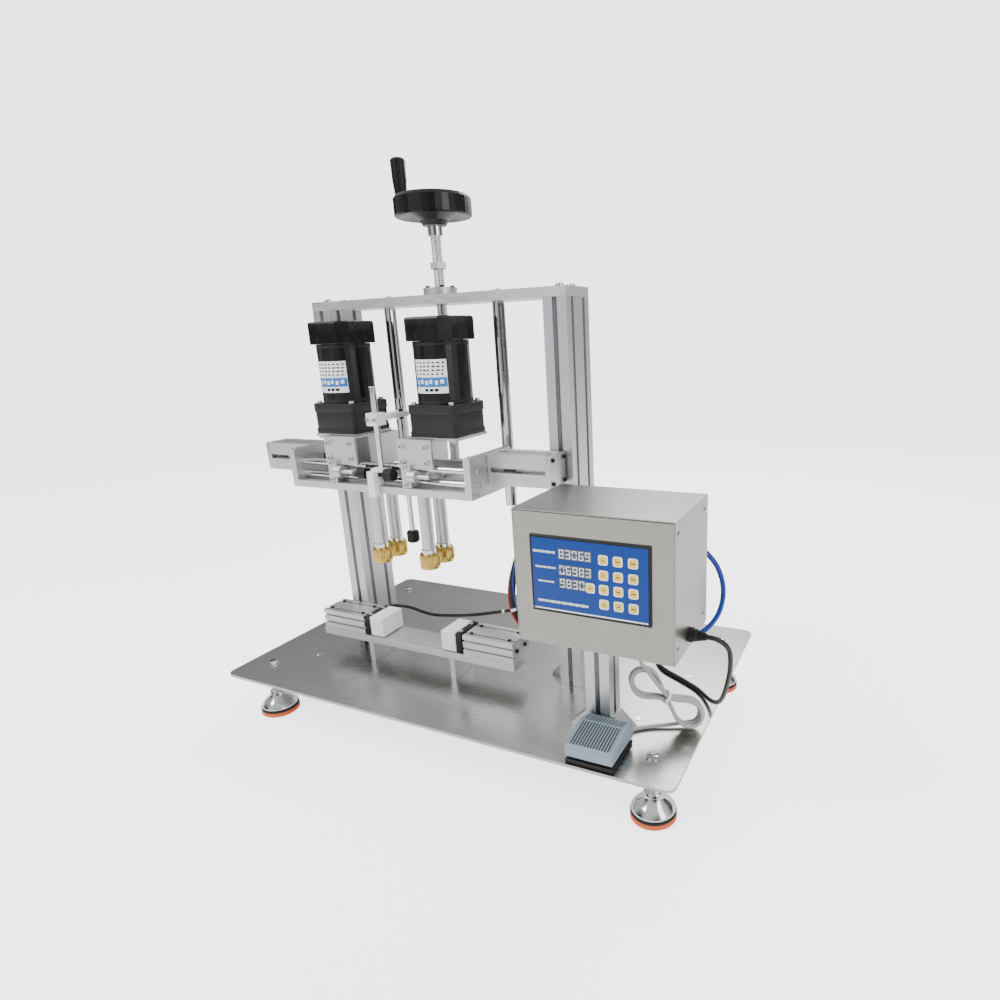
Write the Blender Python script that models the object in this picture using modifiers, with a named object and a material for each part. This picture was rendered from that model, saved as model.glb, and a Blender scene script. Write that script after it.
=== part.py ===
"""Two-head bench capping machine: base plate, lifting head carriage, bottle clamp, control box, foot pedal.

Units are metres, +Z is up. The origin is on the floor, under the middle of the base plate. +X is to the
operator's right and -Y is towards the operator.
"""

import math

import bmesh
import bpy
from mathutils import Matrix, Vector

GAP = 0.0003  # clearance between neighbouring solids

# Base plate and levelling feet
PLATE_LENGTH = 0.880
PLATE_DEPTH = 0.530
PLATE_THICK = 0.005
PLATE_TOP = 0.100
PLATE_CORNER = 0.015
FOOT_X = 0.389
FOOT_Y = 0.202
FOOT_RADIUS = 0.035
FOOT_STEM_RADIUS = 0.006
FOOT_NUT_RADIUS = 0.0115

# Columns, beam, guide rods and lead screw
COLUMN_WIDTH = 0.040
COLUMN_DEPTH = 0.080
COLUMN_X = (-0.279, 0.190)
COLUMN_TOP = 0.750
SCREW_X = -0.0445
SCREW_Y = -0.025
SLOT_MOUTH = 0.008
SLOT_WIDE = 0.015
SLOT_LIP = 0.0022
SLOT_DEPTH = 0.011
BEAM_THICK = 0.015
GUIDE_OFFSET = 0.112
GUIDE_RADIUS = 0.010
GUIDE_BOTTOM = 0.410
SCREW_RADIUS = 0.009
FLANGE_NUT_RADIUS = 0.028
FLANGE_NUT_HEIGHT = 0.0115
LOCK_NUT_BOTTOM = 0.807
LOCK_NUT_HEIGHT = 0.010
LOCK_NUT_RADIUS = 0.0138

# Handwheel
WHEEL_BOTTOM = 0.873
WHEEL_RADIUS = 0.0625
RIM_BOTTOM = 0.886
RIM_TOP = 0.918
RIM_WALL = 0.020
HUB_RADIUS = 0.019
GRIP_TOP = 0.975
GRIP_RADIUS = 0.012
GRIP_OFFSET = 0.050
GRIP_ANGLE = math.radians(205.7)

# Bottle axis, shared by the capping heads and the bottle clamp
AXIS_X = -0.105
AXIS_Y = -0.094

# Carriage tray
TRAY_HALF = 0.190
TRAY_FRONT = -0.167
TRAY_BACK = -0.067
TRAY_BOTTOM = 0.452
TRAY_TOP = 0.518
TRAY_WALL = 0.012
RIGHT_WALL_BACK = -0.047
SHELF_LEFT = -0.250
SHELF_RIGHT = 0.100
SHELF_BACK = 0.012
SLIDE_ROD_Y = -0.147
SLIDE_ROD_Z = (0.4730, 0.4945)
SLIDE_ROD_RADIUS = 0.006
BEARING_RADIUS = 0.016
BEARING_FLANGE_RADIUS = 0.018
BEARING_HEIGHT = 0.041
CYLINDER_SIDE = 0.050
CYLINDER_LENGTH = 0.113
CYLINDER_Z = 0.493
PISTON_RADIUS = 0.006

# Capping heads
HEAD_OFFSET = 0.103
BRACKET_SHIFT = 0.024
BRACKET_WIDTH = 0.068
BRACKET_FRONT = -0.158
BRACKET_FRONT_THICK = 0.0045
BRACKET_FRONT_BOTTOM = 0.4945
CLAMP_BLOCK_SHIFT = -0.0152
CLAMP_BLOCK_WIDTH = 0.0175
GEARBOX_SIDE = 0.090
GEARBOX_BOTTOM = 0.5435
GEARBOX_HEIGHT = 0.0515
MOTOR_RADIUS = 0.0445
FAN_BOTTOM = 0.693
FAN_TOP = 0.7295
FAN_CHAMFER = 0.015
SPINDLE_OFFSET_X = 0.0535
SPINDLE_OFFSET_Y = 0.0205
SPINDLE_RADIUS = 0.011
JOURNAL_RADIUS = 0.008
SPINDLE_BLOCK_BOTTOM = 0.485
ROLLER_RADIUS = 0.0175
ROLLER_BOTTOM = 0.309
ROLLER_TOP = 0.337

# Stops and cap presser
STOP_Y = -0.163
STOP_Z = 0.4835
STOP_BRACKET_LEFT = -0.112
STOP_BRACKET_WIDTH = 0.014
STOP_BRACKET_FRONT = -0.178
STOP_BRACKET_BOTTOM = 0.447
STOP_SPACING = 0.028
STOP_WIDTH = 0.017
STOP_RADIUS = 0.0095
POST_X = -0.0935
POST_Y = -0.1613
POST_RADIUS = 0.005
POST_TOP = 0.626
PRESSER_X = -0.101
PRESSER_RADIUS = 0.0045
BUMPER_RADIUS = 0.011
BUMPER_BOTTOM = 0.345
BUMPER_TOP = 0.366
PRESSER_CLAMP_BOTTOM = 0.5645
PRESSER_CLAMP_HEIGHT = 0.020

# Bottle clamp
TABLE_HALF = 0.217
TABLE_FRONT = -0.124
TABLE_BACK = -0.067
TABLE_BOTTOM = 0.141
TABLE_TOP = 0.155
SUPPORT_X = (-0.207, -0.019)
SUPPORT_THICK = 0.010
JAW_OPEN = 0.067
PAD_THICK = 0.031
JAW_PLATE_THICK = 0.012
JAW_TOP = 0.193
CLAMP_CYLINDER_LENGTH = 0.102
CLAMP_ROD_RADIUS = 0.005
CLAMP_ROD_SPACING = 0.028
CLAMP_ROD_Z = 0.175

# Control box
BOX_LEFT = 0.210
BOX_RIGHT = 0.439
BOX_FRONT = -0.257
BOX_BACK = -0.107
BOX_BOTTOM = 0.283
BOX_TOP = 0.475
BOX_SHEET = 0.0015
PANEL_LEFT = 0.2365
PANEL_RIGHT = 0.4085
PANEL_BOTTOM = 0.333
PANEL_TOP = 0.442
PANEL_THICK = 0.002
BOX_POST_X = 0.292
BOX_POST_Y = -0.157
BOX_POST_SIDE = 0.040

# Foot pedal
PEDAL_LEFT = 0.275
PEDAL_RIGHT = 0.350
PEDAL_FRONT = -0.262
PEDAL_BACK = -0.181
PEDAL_BASE_HEIGHT = 0.006
TREADLE_BOTTOM = 0.1112
TREADLE_FRONT_TOP = 0.131
TREADLE_RIDGE_TOP = 0.140
TREADLE_RIDGE_Y = -0.207
TREADLE_BACK_TOP = 0.135

# Cords: radius and hand-picked route of each
AIR_HOSE_RADIUS = 0.004
AIR_HOSE_ROUTE = (
    (0.412, -0.1067, 0.392),
    (0.412, -0.086, 0.390),
    (0.425, -0.066, 0.376),
    (0.443, -0.056, 0.348),
    (0.452, -0.056, 0.312),
    (0.447, -0.066, 0.277),
    (0.428, -0.080, 0.252),
    (0.398, -0.092, 0.240),
    (0.362, -0.102, 0.235),
    (0.325, -0.111, 0.237),
    (0.294, -0.118, 0.246),
    (0.272, -0.122, 0.261),
    (0.264, -0.123, 0.272),
    (0.264, -0.123, 0.2820),
)
POWER_LEAD_RADIUS = 0.0035
POWER_LEAD_ROUTE = (
    (0.4638, -0.193, 0.300),
    (0.470, -0.193, 0.300),
    (0.480, -0.190, 0.296),
    (0.490, -0.181, 0.281),
    (0.490, -0.168, 0.252),
    (0.482, -0.146, 0.212),
    (0.468, -0.114, 0.166),
    (0.450, -0.074, 0.131),
    (0.427, -0.034, 0.1095),
    (0.400, -0.002, 0.1043),
    (0.363, 0.022, 0.1040),
    (0.320, 0.048, 0.1040),
    (0.296, 0.084, 0.1040),
    (0.2875, 0.122, 0.1040),
    (0.2860, 0.158, 0.1040),
)
COIL_CENTRE = (0.235, 0.158)
COIL_RADIUS = 0.0375
COIL_WALL = 0.0095
COIL_TOP = 0.1255
PLUG_LOW = (0.1785, 0.072, PLATE_TOP + GAP)
PLUG_HIGH = (0.2045, 0.118, 0.1225)
GLAND_LENGTH = 0.024
GLAND_PLACE = (-0.193, 0.300)
CLAMP_HOSE_RADIUS = 0.003
CLAMP_HOSE_ROUTE = (
    (-0.2360, -0.0665, 0.177),
    (-0.2360, -0.0530, 0.177),
    (-0.2290, -0.0340, 0.176),
    (-0.2110, -0.0240, 0.175),
    (-0.1830, -0.0250, 0.175),
    (-0.1500, -0.0330, 0.175),
    (-0.1150, -0.0420, 0.178),
    (-0.0750, -0.0500, 0.186),
    (-0.0350, -0.0560, 0.195),
    (0.005, -0.0620, 0.206),
    (0.050, -0.0620, 0.218),
    (0.095, -0.0620, 0.230),
    (0.140, -0.0680, 0.241),
    (0.180, -0.0790, 0.249),
    (0.212, -0.0920, 0.253),
    (0.234, -0.1080, 0.261),
    (0.240, -0.1150, 0.273),
    (0.240, -0.1150, 0.2820),
)
PEDAL_CORD_RADIUS = 0.003
PEDAL_CORD_ROUTE = (
    (0.335, -0.1807, 0.1040),
    (0.335, -0.1680, 0.1035),
    (0.339, -0.1550, 0.1033),
    (0.351, -0.1430, 0.1033),
    (0.368, -0.1320, 0.1036),
    (0.384, -0.1235, 0.1045),
)
RISER_ROUTE = (
    (0.3670, -0.1340, 0.1900),
    (0.3570, -0.1380, 0.2020),
    (0.3490, -0.1420, 0.2180),
    (0.3455, -0.1440, 0.2400),
    (0.3450, -0.1445, 0.2620),
    (0.3450, -0.1445, 0.2820),
)
HANK_TIE = (0.3835, -0.1225, 0.1530)
HANK_ALONG = (0.791, 0.199, -0.577)  # from the box's end of the hank to the plate's end
HANK_ACROSS = (-0.445, -0.458, -0.770)
HANK_HALF_LENGTH = 0.0674
HANK_HALF_WIDTH = 0.0366
HANK_WAIST = 0.0070  # half the width at the tie
HANK_WAIST_REACH = 0.032
HANK_THICK = 0.0346
LOOM_RADIUS = 0.006
LOOM_ROUTE = (
    (0.1692, -0.040, 0.428),
    (0.160, -0.040, 0.428),
    (0.148, -0.043, 0.420),
    (0.133, -0.050, 0.400),
    (0.116, -0.064, 0.365),
    (0.103, -0.080, 0.325),
    (0.097, -0.089, 0.280),
    (0.103, -0.094, 0.240),
    (0.128, -0.099, 0.215),
    (0.162, -0.104, 0.212),
    (0.193, -0.110, 0.226),
    (0.212, -0.1145, 0.250),
    (0.219, -0.116, 0.270),
    (0.219, -0.116, 0.2820),
)


def reset():
    """Remove every object of the scene."""
    for item in list(bpy.data.objects):
        bpy.data.objects.remove(item, do_unlink=True)


def new_collection(name):
    """Make a collection and link it to the scene."""
    collection = bpy.data.collections.new(name)
    bpy.context.scene.collection.children.link(collection)
    return collection


reset()
PARTS = new_collection("capping_machine")
CUTTERS = new_collection("cutters")


def material(name, color, roughness, metallic):
    """Make one Principled material."""
    made = bpy.data.materials.new(name)
    made.use_nodes = True
    shader = made.node_tree.nodes["Principled BSDF"]
    shader.inputs["Base Color"].default_value = (*color, 1.0)
    shader.inputs["Roughness"].default_value = roughness
    shader.inputs["Metallic"].default_value = metallic
    made.diffuse_color = (*color, 1.0)
    return made


STAINLESS = material("stainless", (0.72, 0.71, 0.69), 0.32, 1.0)
EXTRUSION = material("anodised_extrusion", (0.80, 0.81, 0.82), 0.38, 1.0)
MILLED = material("milled_aluminium", (0.83, 0.83, 0.83), 0.40, 1.0)
CHROME = material("hard_chrome", (0.80, 0.80, 0.81), 0.12, 1.0)
STEEL = material("turned_steel", (0.55, 0.55, 0.56), 0.35, 1.0)
BRASS = material("roller_brass", (0.80, 0.67, 0.36), 0.35, 1.0)
BLACK_PLASTIC = material("black_plastic", (0.02, 0.02, 0.022), 0.35, 0.0)
BLACK_PAINT = material("black_paint", (0.035, 0.036, 0.040), 0.45, 0.0)
BLACK_RUBBER = material("black_rubber", (0.02, 0.02, 0.02), 0.7, 0.0)
WHITE_PLASTIC = material("white_plastic", (0.88, 0.88, 0.86), 0.45, 0.0)
PANEL_BLUE = material("panel_blue", (0.04, 0.17, 0.55), 0.35, 0.0)
PEDAL_GREY = material("pedal_grey", (0.40, 0.47, 0.53), 0.45, 0.0)
BLUE_HOSE = material("blue_hose", (0.02, 0.08, 0.50), 0.3, 0.0)
GREY_CORD = material("grey_cord", (0.60, 0.60, 0.58), 0.45, 0.0)


def register(name, mesh, look, collection=None):
    """Put a mesh in the scene as one named object."""
    item = bpy.data.objects.new(name, mesh)
    (collection or PARTS).objects.link(item)
    if look is not None:
        mesh.materials.append(look)
    return item


def cutter(item):
    """Mark an object as a cutting tool."""
    item.hide_render = True
    item.display_type = "WIRE"
    return item


def box_mesh(name, size):
    """Make a box mesh centred on its origin."""
    mesh = bpy.data.meshes.new(name)
    work = bmesh.new()
    bmesh.ops.create_cube(work, size=1.0)
    bmesh.ops.scale(work, vec=Vector(size), verts=work.verts)
    work.to_mesh(mesh)
    work.free()
    return mesh


def box(name, low, high, look, collection=None):
    """Make a box between two corners."""
    size = [b - a for a, b in zip(low, high)]
    item = register(name, box_mesh(name, size), look, collection)
    item.location = [(a + b) / 2 for a, b in zip(low, high)]
    return item


def rod_mesh(name, radius, length, sides):
    """Make a closed cylinder mesh along Z, centred on its origin."""
    mesh = bpy.data.meshes.new(name)
    work = bmesh.new()
    bmesh.ops.create_cone(
        work, cap_ends=True, segments=sides, radius1=radius, radius2=radius, depth=length
    )
    work.to_mesh(mesh)
    work.free()
    return mesh


def rod(name, radius, start, end, look, sides=24, collection=None):
    """Make a straight round rod between two points."""
    start = Vector(start)
    end = Vector(end)
    item = register(name, rod_mesh(name, radius, (end - start).length, sides), look, collection)
    item.location = (start + end) / 2
    item.rotation_mode = "QUATERNION"
    item.rotation_quaternion = (end - start).to_track_quat("Z", "Y")
    smooth(item)
    return item


def smooth(item, angle=40):
    """Shade an object smooth, with its sharper edges kept."""
    item.data.shade_smooth()
    item.data.set_sharp_from_angle(angle=math.radians(angle))


def edge_bevel(item, width, segments=1):
    """Round the edges of an object."""
    modifier = item.modifiers.new("edge", "BEVEL")
    modifier.width = width
    modifier.segments = segments
    modifier.limit_method = "ANGLE"
    modifier.angle_limit = math.radians(40)


def combine(item, other, operation):
    """Join or cut an object with another one."""
    cutter(other)
    modifier = item.modifiers.new(operation.lower(), "BOOLEAN")
    modifier.operation = operation
    modifier.object = other
    modifier.solver = "EXACT"


def cut(item, tool):
    """Take a tool's volume out of an object."""
    combine(item, tool, "DIFFERENCE")


def join(item, tool):
    """Add a tool's volume to an object."""
    combine(item, tool, "UNION")


def tool_box(name, low, high):
    """Make a box for cutting or joining."""
    return box(name, low, high, None, CUTTERS)


def tool_rod(name, radius, start, end, sides=24):
    """Make a rod for cutting or joining."""
    return rod(name, radius, start, end, None, sides, CUTTERS)


def turned(name, profile, location, look, steps=28, direction=None, collection=None):
    """Turn a profile of (radius, height) points, listed down its outer side, about the Z axis."""
    mesh = bpy.data.meshes.new(name)
    work = bmesh.new()
    verts = [work.verts.new((radius, 0.0, height)) for radius, height in profile]
    for first, second in zip(verts, verts[1:]):
        work.edges.new((first, second))
    closed_ring = all(radius > 0 for radius, _ in profile)
    if closed_ring:
        work.edges.new((verts[-1], verts[0]))
    work.to_mesh(mesh)
    work.free()
    item = register(name, mesh, look, collection)
    item.location = location
    if direction is not None:
        item.rotation_mode = "QUATERNION"
        item.rotation_quaternion = Vector(direction).to_track_quat("Z", "Y")
    screw = item.modifiers.new("turn", "SCREW")
    screw.angle = math.tau
    screw.steps = steps
    screw.render_steps = steps
    screw.use_merge_vertices = True
    screw.merge_threshold = 0.00001
    screw.use_smooth_shade = True
    return item


def add_spline(curve, points):
    """Add one closed outline of (x, y) points to a flat curve."""
    spline = curve.splines.new("POLY")
    spline.points.add(len(points) - 1)
    for point, (x, y) in zip(spline.points, points):
        point.co = (x, y, 0.0, 1.0)
    spline.use_cyclic_u = True


def outline(name, loops, bottom, top, look, centre=(0.0, 0.0)):
    """Extrude a flat outline, with any holes, between two heights."""
    curve = bpy.data.curves.new(name, "CURVE")
    curve.dimensions = "2D"
    curve.fill_mode = "BOTH"
    curve.extrude = (top - bottom) / 2
    for points in loops:
        add_spline(curve, points)
    curve.materials.append(look)
    item = bpy.data.objects.new(name, curve)
    PARTS.objects.link(item)
    item.location = (centre[0], centre[1], (top + bottom) / 2)
    return item


def solid(item):
    """Turn an outline into a mesh object, so that other solids can cut or join it."""
    graph = bpy.context.evaluated_depsgraph_get()
    mesh = bpy.data.meshes.new_from_object(item.evaluated_get(graph))
    name = item.name
    place = item.location.copy()
    bpy.data.objects.remove(item, do_unlink=True)
    work = bmesh.new()
    work.from_mesh(mesh)
    bmesh.ops.remove_doubles(work, verts=work.verts, dist=0.00001)
    bmesh.ops.dissolve_limit(work, angle_limit=0.001, verts=work.verts, edges=work.edges)
    bmesh.ops.recalc_face_normals(work, faces=work.faces)
    work.to_mesh(mesh)
    work.free()
    made = register(name, mesh, None)
    made.location = place
    return made


def rectangle(left, front, right, back):
    """List the corners of a rectangle."""
    return [(left, front), (right, front), (right, back), (left, back)]


def rounded_rectangle(left, front, right, back, radius, steps=4):
    """List the points of a rectangle with round corners."""
    corners = (
        (right - radius, back - radius, 0),
        (left + radius, back - radius, 90),
        (left + radius, front + radius, 180),
        (right - radius, front + radius, 270),
    )
    points = []
    for x, y, start in corners:
        for step in range(steps + 1):
            angle = math.radians(start + 90 * step / steps)
            points.append((x + radius * math.cos(angle), y + radius * math.sin(angle)))
    return points


def circle(x, y, radius, steps=24):
    """List the points of a circle."""
    return [
        (x + radius * math.cos(math.tau * i / steps), y + radius * math.sin(math.tau * i / steps))
        for i in range(steps)
    ]


def slotted_side(length, centres):
    """List points along one side of an extrusion, from 0 to its length, dipping into each T-slot."""
    points = [(0.0, 0.0)]
    for centre in centres:
        mouth = SLOT_MOUTH / 2
        wide = SLOT_WIDE / 2
        floor = SLOT_MOUTH / 2 - 0.0007
        points += [
            (centre - mouth, 0.0),
            (centre - mouth, SLOT_LIP),
            (centre - wide, SLOT_LIP),
            (centre - wide, SLOT_LIP + 0.002),
            (centre - floor, SLOT_DEPTH),
            (centre + floor, SLOT_DEPTH),
            (centre + wide, SLOT_LIP + 0.002),
            (centre + wide, SLOT_LIP),
            (centre + mouth, SLOT_LIP),
            (centre + mouth, 0.0),
        ]
    return points


def extrusion_outline(width, depth, front_slots, side_slots):
    """List the cross-section of a slotted extrusion, centred on the origin."""
    half_w = width / 2
    half_d = depth / 2
    points = [(-half_w + s, -half_d + d) for s, d in slotted_side(width, front_slots)]
    points += [(half_w - d, -half_d + s) for s, d in slotted_side(depth, side_slots)]
    points += [(half_w - s, half_d - d) for s, d in slotted_side(width, front_slots)]
    points += [(-half_w + d, half_d - s) for s, d in slotted_side(depth, side_slots)]
    return points


def smooth_route(points, spacing):
    """Read spaced points from a Catmull-Rom curve, with one more beside each end to square it off."""
    knots = [Vector(point) for point in points]
    padded = [2 * knots[0] - knots[1], *knots, 2 * knots[-1] - knots[-2]]
    dense = []
    for i in range(len(knots) - 1):
        p0, p1, p2, p3 = padded[i : i + 4]
        for step in range(24):
            t = step / 24
            dense.append(
                0.5
                * (
                    2 * p1
                    + (p2 - p0) * t
                    + (2 * p0 - 5 * p1 + 4 * p2 - p3) * t**2
                    + (3 * p1 - p0 - 3 * p2 + p3) * t**3
                )
            )
    dense.append(knots[-1])
    steps = [(b - a).length for a, b in zip(dense, dense[1:])]
    total = sum(steps)
    count = max(2, round(total / spacing))
    result = [dense[0], dense[6]]
    travelled = 0.0
    target = total / count
    for step, point in zip(steps, dense[1:]):
        travelled += step
        if travelled >= target and travelled < total - spacing / 2:
            result.append(point)
            target += total / count
    result += [dense[-7], dense[-1]]
    return result


def cord(name, route, radius, look, spacing=None):
    """Make a plain tube along a smooth route."""
    curve = bpy.data.curves.new(name, "CURVE")
    curve.dimensions = "3D"
    curve.bevel_depth = radius
    curve.bevel_resolution = 2
    curve.use_fill_caps = True
    points = smooth_route(route, spacing or 5 * radius)
    spline = curve.splines.new("POLY")
    spline.points.add(len(points) - 1)
    for target, point in zip(spline.points, points):
        target.co = (*point, 1.0)
    curve.materials.append(look)
    item = bpy.data.objects.new(name, curve)
    PARTS.objects.link(item)
    return item


def body_empty(name, location, parent=None):
    """Make an unturned empty on a joint's axis, for the pieces that move together."""
    empty = bpy.data.objects.new(name, None)
    empty.empty_display_size = 0.03
    PARTS.objects.link(empty)
    empty.location = location
    if parent is not None:
        attach([empty], parent)
    return empty


def attach(items, parent):
    """Parent objects to an unturned empty without moving them."""
    for item in items:
        item.parent = parent
        item.matrix_parent_inverse = Matrix.Translation(-parent.location)


def build_base():
    """Make the base plate and its four levelling feet."""
    half_x = PLATE_LENGTH / 2
    half_y = PLATE_DEPTH / 2
    feet = [(x, y) for y in (-FOOT_Y, FOOT_Y) for x in (-FOOT_X, FOOT_X)]
    holes = [circle(x, y, FOOT_STEM_RADIUS + GAP, 16) for x, y in feet]
    edge = rounded_rectangle(-half_x, -half_y, half_x, half_y, PLATE_CORNER)
    outline("base_plate", [edge, *holes], PLATE_TOP - PLATE_THICK, PLATE_TOP, STAINLESS)
    under = PLATE_TOP - PLATE_THICK - GAP
    profile = [
        (0.0, PLATE_TOP + 0.0045),
        (0.0065, PLATE_TOP + 0.0040),
        (0.0095, PLATE_TOP + 0.0020),
        (0.0095, PLATE_TOP + GAP),
        (FOOT_STEM_RADIUS, PLATE_TOP + GAP),
        (FOOT_STEM_RADIUS, under),
        (FOOT_NUT_RADIUS, under),
        (FOOT_NUT_RADIUS, under - 0.010),
        (FOOT_STEM_RADIUS + 0.002, under - 0.010),
        (FOOT_STEM_RADIUS + 0.002, 0.044),
        (0.0145, 0.040),
        (FOOT_RADIUS - 0.002, 0.018),
        (FOOT_RADIUS, 0.014),
        (FOOT_RADIUS, 0.002),
        (FOOT_RADIUS - 0.002, 0.0),
        (0.0, 0.0),
    ]
    names = ("foot_front_left", "foot_front_right", "foot_rear_left", "foot_rear_right")
    for name, (x, y) in zip(names, feet):
        turned(name, profile, (x, y, 0.0), CHROME, 24)


def build_frame():
    """Make the two columns, the top beam, its flanged nut and the two guide rods."""
    front = [COLUMN_WIDTH / 2]
    side = [COLUMN_WIDTH / 2, COLUMN_DEPTH - COLUMN_WIDTH / 2]
    section = extrusion_outline(COLUMN_WIDTH, COLUMN_DEPTH, front, side)
    for name, x in zip(("column_left", "column_right"), COLUMN_X):
        outline(name, [section], PLATE_TOP + GAP, COLUMN_TOP, EXTRUSION, (x, SCREW_Y))
    left = COLUMN_X[0] - COLUMN_WIDTH / 2
    right = COLUMN_X[1] + COLUMN_WIDTH / 2
    bottom = COLUMN_TOP + GAP
    edge = rectangle(left, SCREW_Y - COLUMN_DEPTH / 2, right, SCREW_Y + COLUMN_DEPTH / 2)
    screw_hole = circle(SCREW_X, SCREW_Y, SCREW_RADIUS + 0.001)
    outline("top_beam", [edge, screw_hole], bottom, bottom + BEAM_THICK, MILLED)
    nut_bottom = bottom + BEAM_THICK + GAP
    ring = circle(0.0, 0.0, FLANGE_NUT_RADIUS, 32)
    bore = circle(0.0, 0.0, SCREW_RADIUS + GAP)
    nut_top = nut_bottom + FLANGE_NUT_HEIGHT
    outline("flange_nut", [ring, bore], nut_bottom, nut_top, STEEL, (SCREW_X, SCREW_Y))
    for name, x in (("guide_rod_left", -GUIDE_OFFSET), ("guide_rod_right", GUIDE_OFFSET)):
        start = (SCREW_X + x, SCREW_Y, GUIDE_BOTTOM)
        end = (SCREW_X + x, SCREW_Y, COLUMN_TOP - GAP)
        rod(name, GUIDE_RADIUS, start, end, CHROME)


def build_screw(body):
    """Make the lead screw, handwheel and grip, which turn in the beam's flanged nut."""
    hub_bore = 0.0075
    profile = [
        (0.0, WHEEL_BOTTOM + 0.034),
        (hub_bore, WHEEL_BOTTOM + 0.034),
        (hub_bore, WHEEL_BOTTOM - GAP),
        (0.012, WHEEL_BOTTOM - GAP),
        (0.012, WHEEL_BOTTOM - 0.012),
        (SCREW_RADIUS, WHEEL_BOTTOM - 0.012),
        (SCREW_RADIUS, TRAY_BOTTOM + TRAY_WALL + 0.020),
        (0.014, TRAY_BOTTOM + TRAY_WALL + 0.020),
        (0.014, TRAY_BOTTOM + TRAY_WALL + GAP),
        (0.0, TRAY_BOTTOM + TRAY_WALL + GAP),
    ]
    screw = turned("lead_screw", profile, (SCREW_X, SCREW_Y, 0.0), STEEL, 20)
    inner = WHEEL_RADIUS - RIM_WALL
    wheel_profile = [
        (hub_bore + GAP, WHEEL_BOTTOM + 0.031),
        (HUB_RADIUS, WHEEL_BOTTOM + 0.031),
        (HUB_RADIUS + 0.002, WHEEL_BOTTOM + 0.020),
        (inner, RIM_BOTTOM + 0.014),
        (inner, RIM_TOP - 0.003),
        (inner + 0.004, RIM_TOP),
        (WHEEL_RADIUS - 0.004, RIM_TOP),
        (WHEEL_RADIUS, RIM_TOP - 0.005),
        (WHEEL_RADIUS, RIM_BOTTOM + 0.002),
        (WHEEL_RADIUS - 0.002, RIM_BOTTOM),
        (inner, RIM_BOTTOM + 0.005),
        (HUB_RADIUS + 0.004, WHEEL_BOTTOM + 0.008),
        (HUB_RADIUS, WHEEL_BOTTOM),
        (hub_bore + GAP, WHEEL_BOTTOM),
    ]
    wheel = turned("handwheel", wheel_profile, (SCREW_X, SCREW_Y, 0.0), BLACK_PLASTIC, 36)
    grip_x = SCREW_X + GRIP_OFFSET * math.cos(GRIP_ANGLE)
    grip_y = SCREW_Y + GRIP_OFFSET * math.sin(GRIP_ANGLE)
    pin = 0.004
    seat = RIM_TOP - 0.010
    seat_end = (grip_x, grip_y, RIM_TOP + 0.01)
    cut(wheel, tool_rod("grip_seat", pin + GAP, (grip_x, grip_y, seat), seat_end, 16))
    grip_profile = [
        (0.0, GRIP_TOP),
        (GRIP_RADIUS - 0.003, GRIP_TOP),
        (GRIP_RADIUS, GRIP_TOP - 0.003),
        (GRIP_RADIUS - 0.0005, GRIP_TOP - 0.030),
        (GRIP_RADIUS - 0.003, RIM_TOP + GAP),
        (pin, RIM_TOP + GAP),
        (pin, seat + GAP),
        (0.0, seat + GAP),
    ]
    grip = turned("handwheel_grip", grip_profile, (grip_x, grip_y, 0.0), BLACK_PLASTIC, 20)
    attach([screw, wheel], body)
    attach([grip], body_empty("grip_body", (grip_x, grip_y, RIM_TOP), body))
    nut_body = body_empty("lock_nut_body", (SCREW_X, SCREW_Y, LOCK_NUT_BOTTOM), body)
    loops = [circle(0.0, 0.0, LOCK_NUT_RADIUS, 6), circle(0.0, 0.0, SCREW_RADIUS + GAP)]
    top = LOCK_NUT_BOTTOM + LOCK_NUT_HEIGHT
    nut = outline("screw_lock_nut", loops, LOCK_NUT_BOTTOM, top, STEEL, (SCREW_X, SCREW_Y))
    attach([nut], nut_body)


def spindle_places():
    """List (head, place, x, y) of the four capping spindles at rest."""
    places = []
    for head, side in (("left", -1), ("right", 1)):
        for place, depth in (("front", -1), ("rear", 1)):
            x = AXIS_X + side * SPINDLE_OFFSET_X
            y = AXIS_Y + depth * SPINDLE_OFFSET_Y
            places.append((head, place, x, y))
    return places


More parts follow.
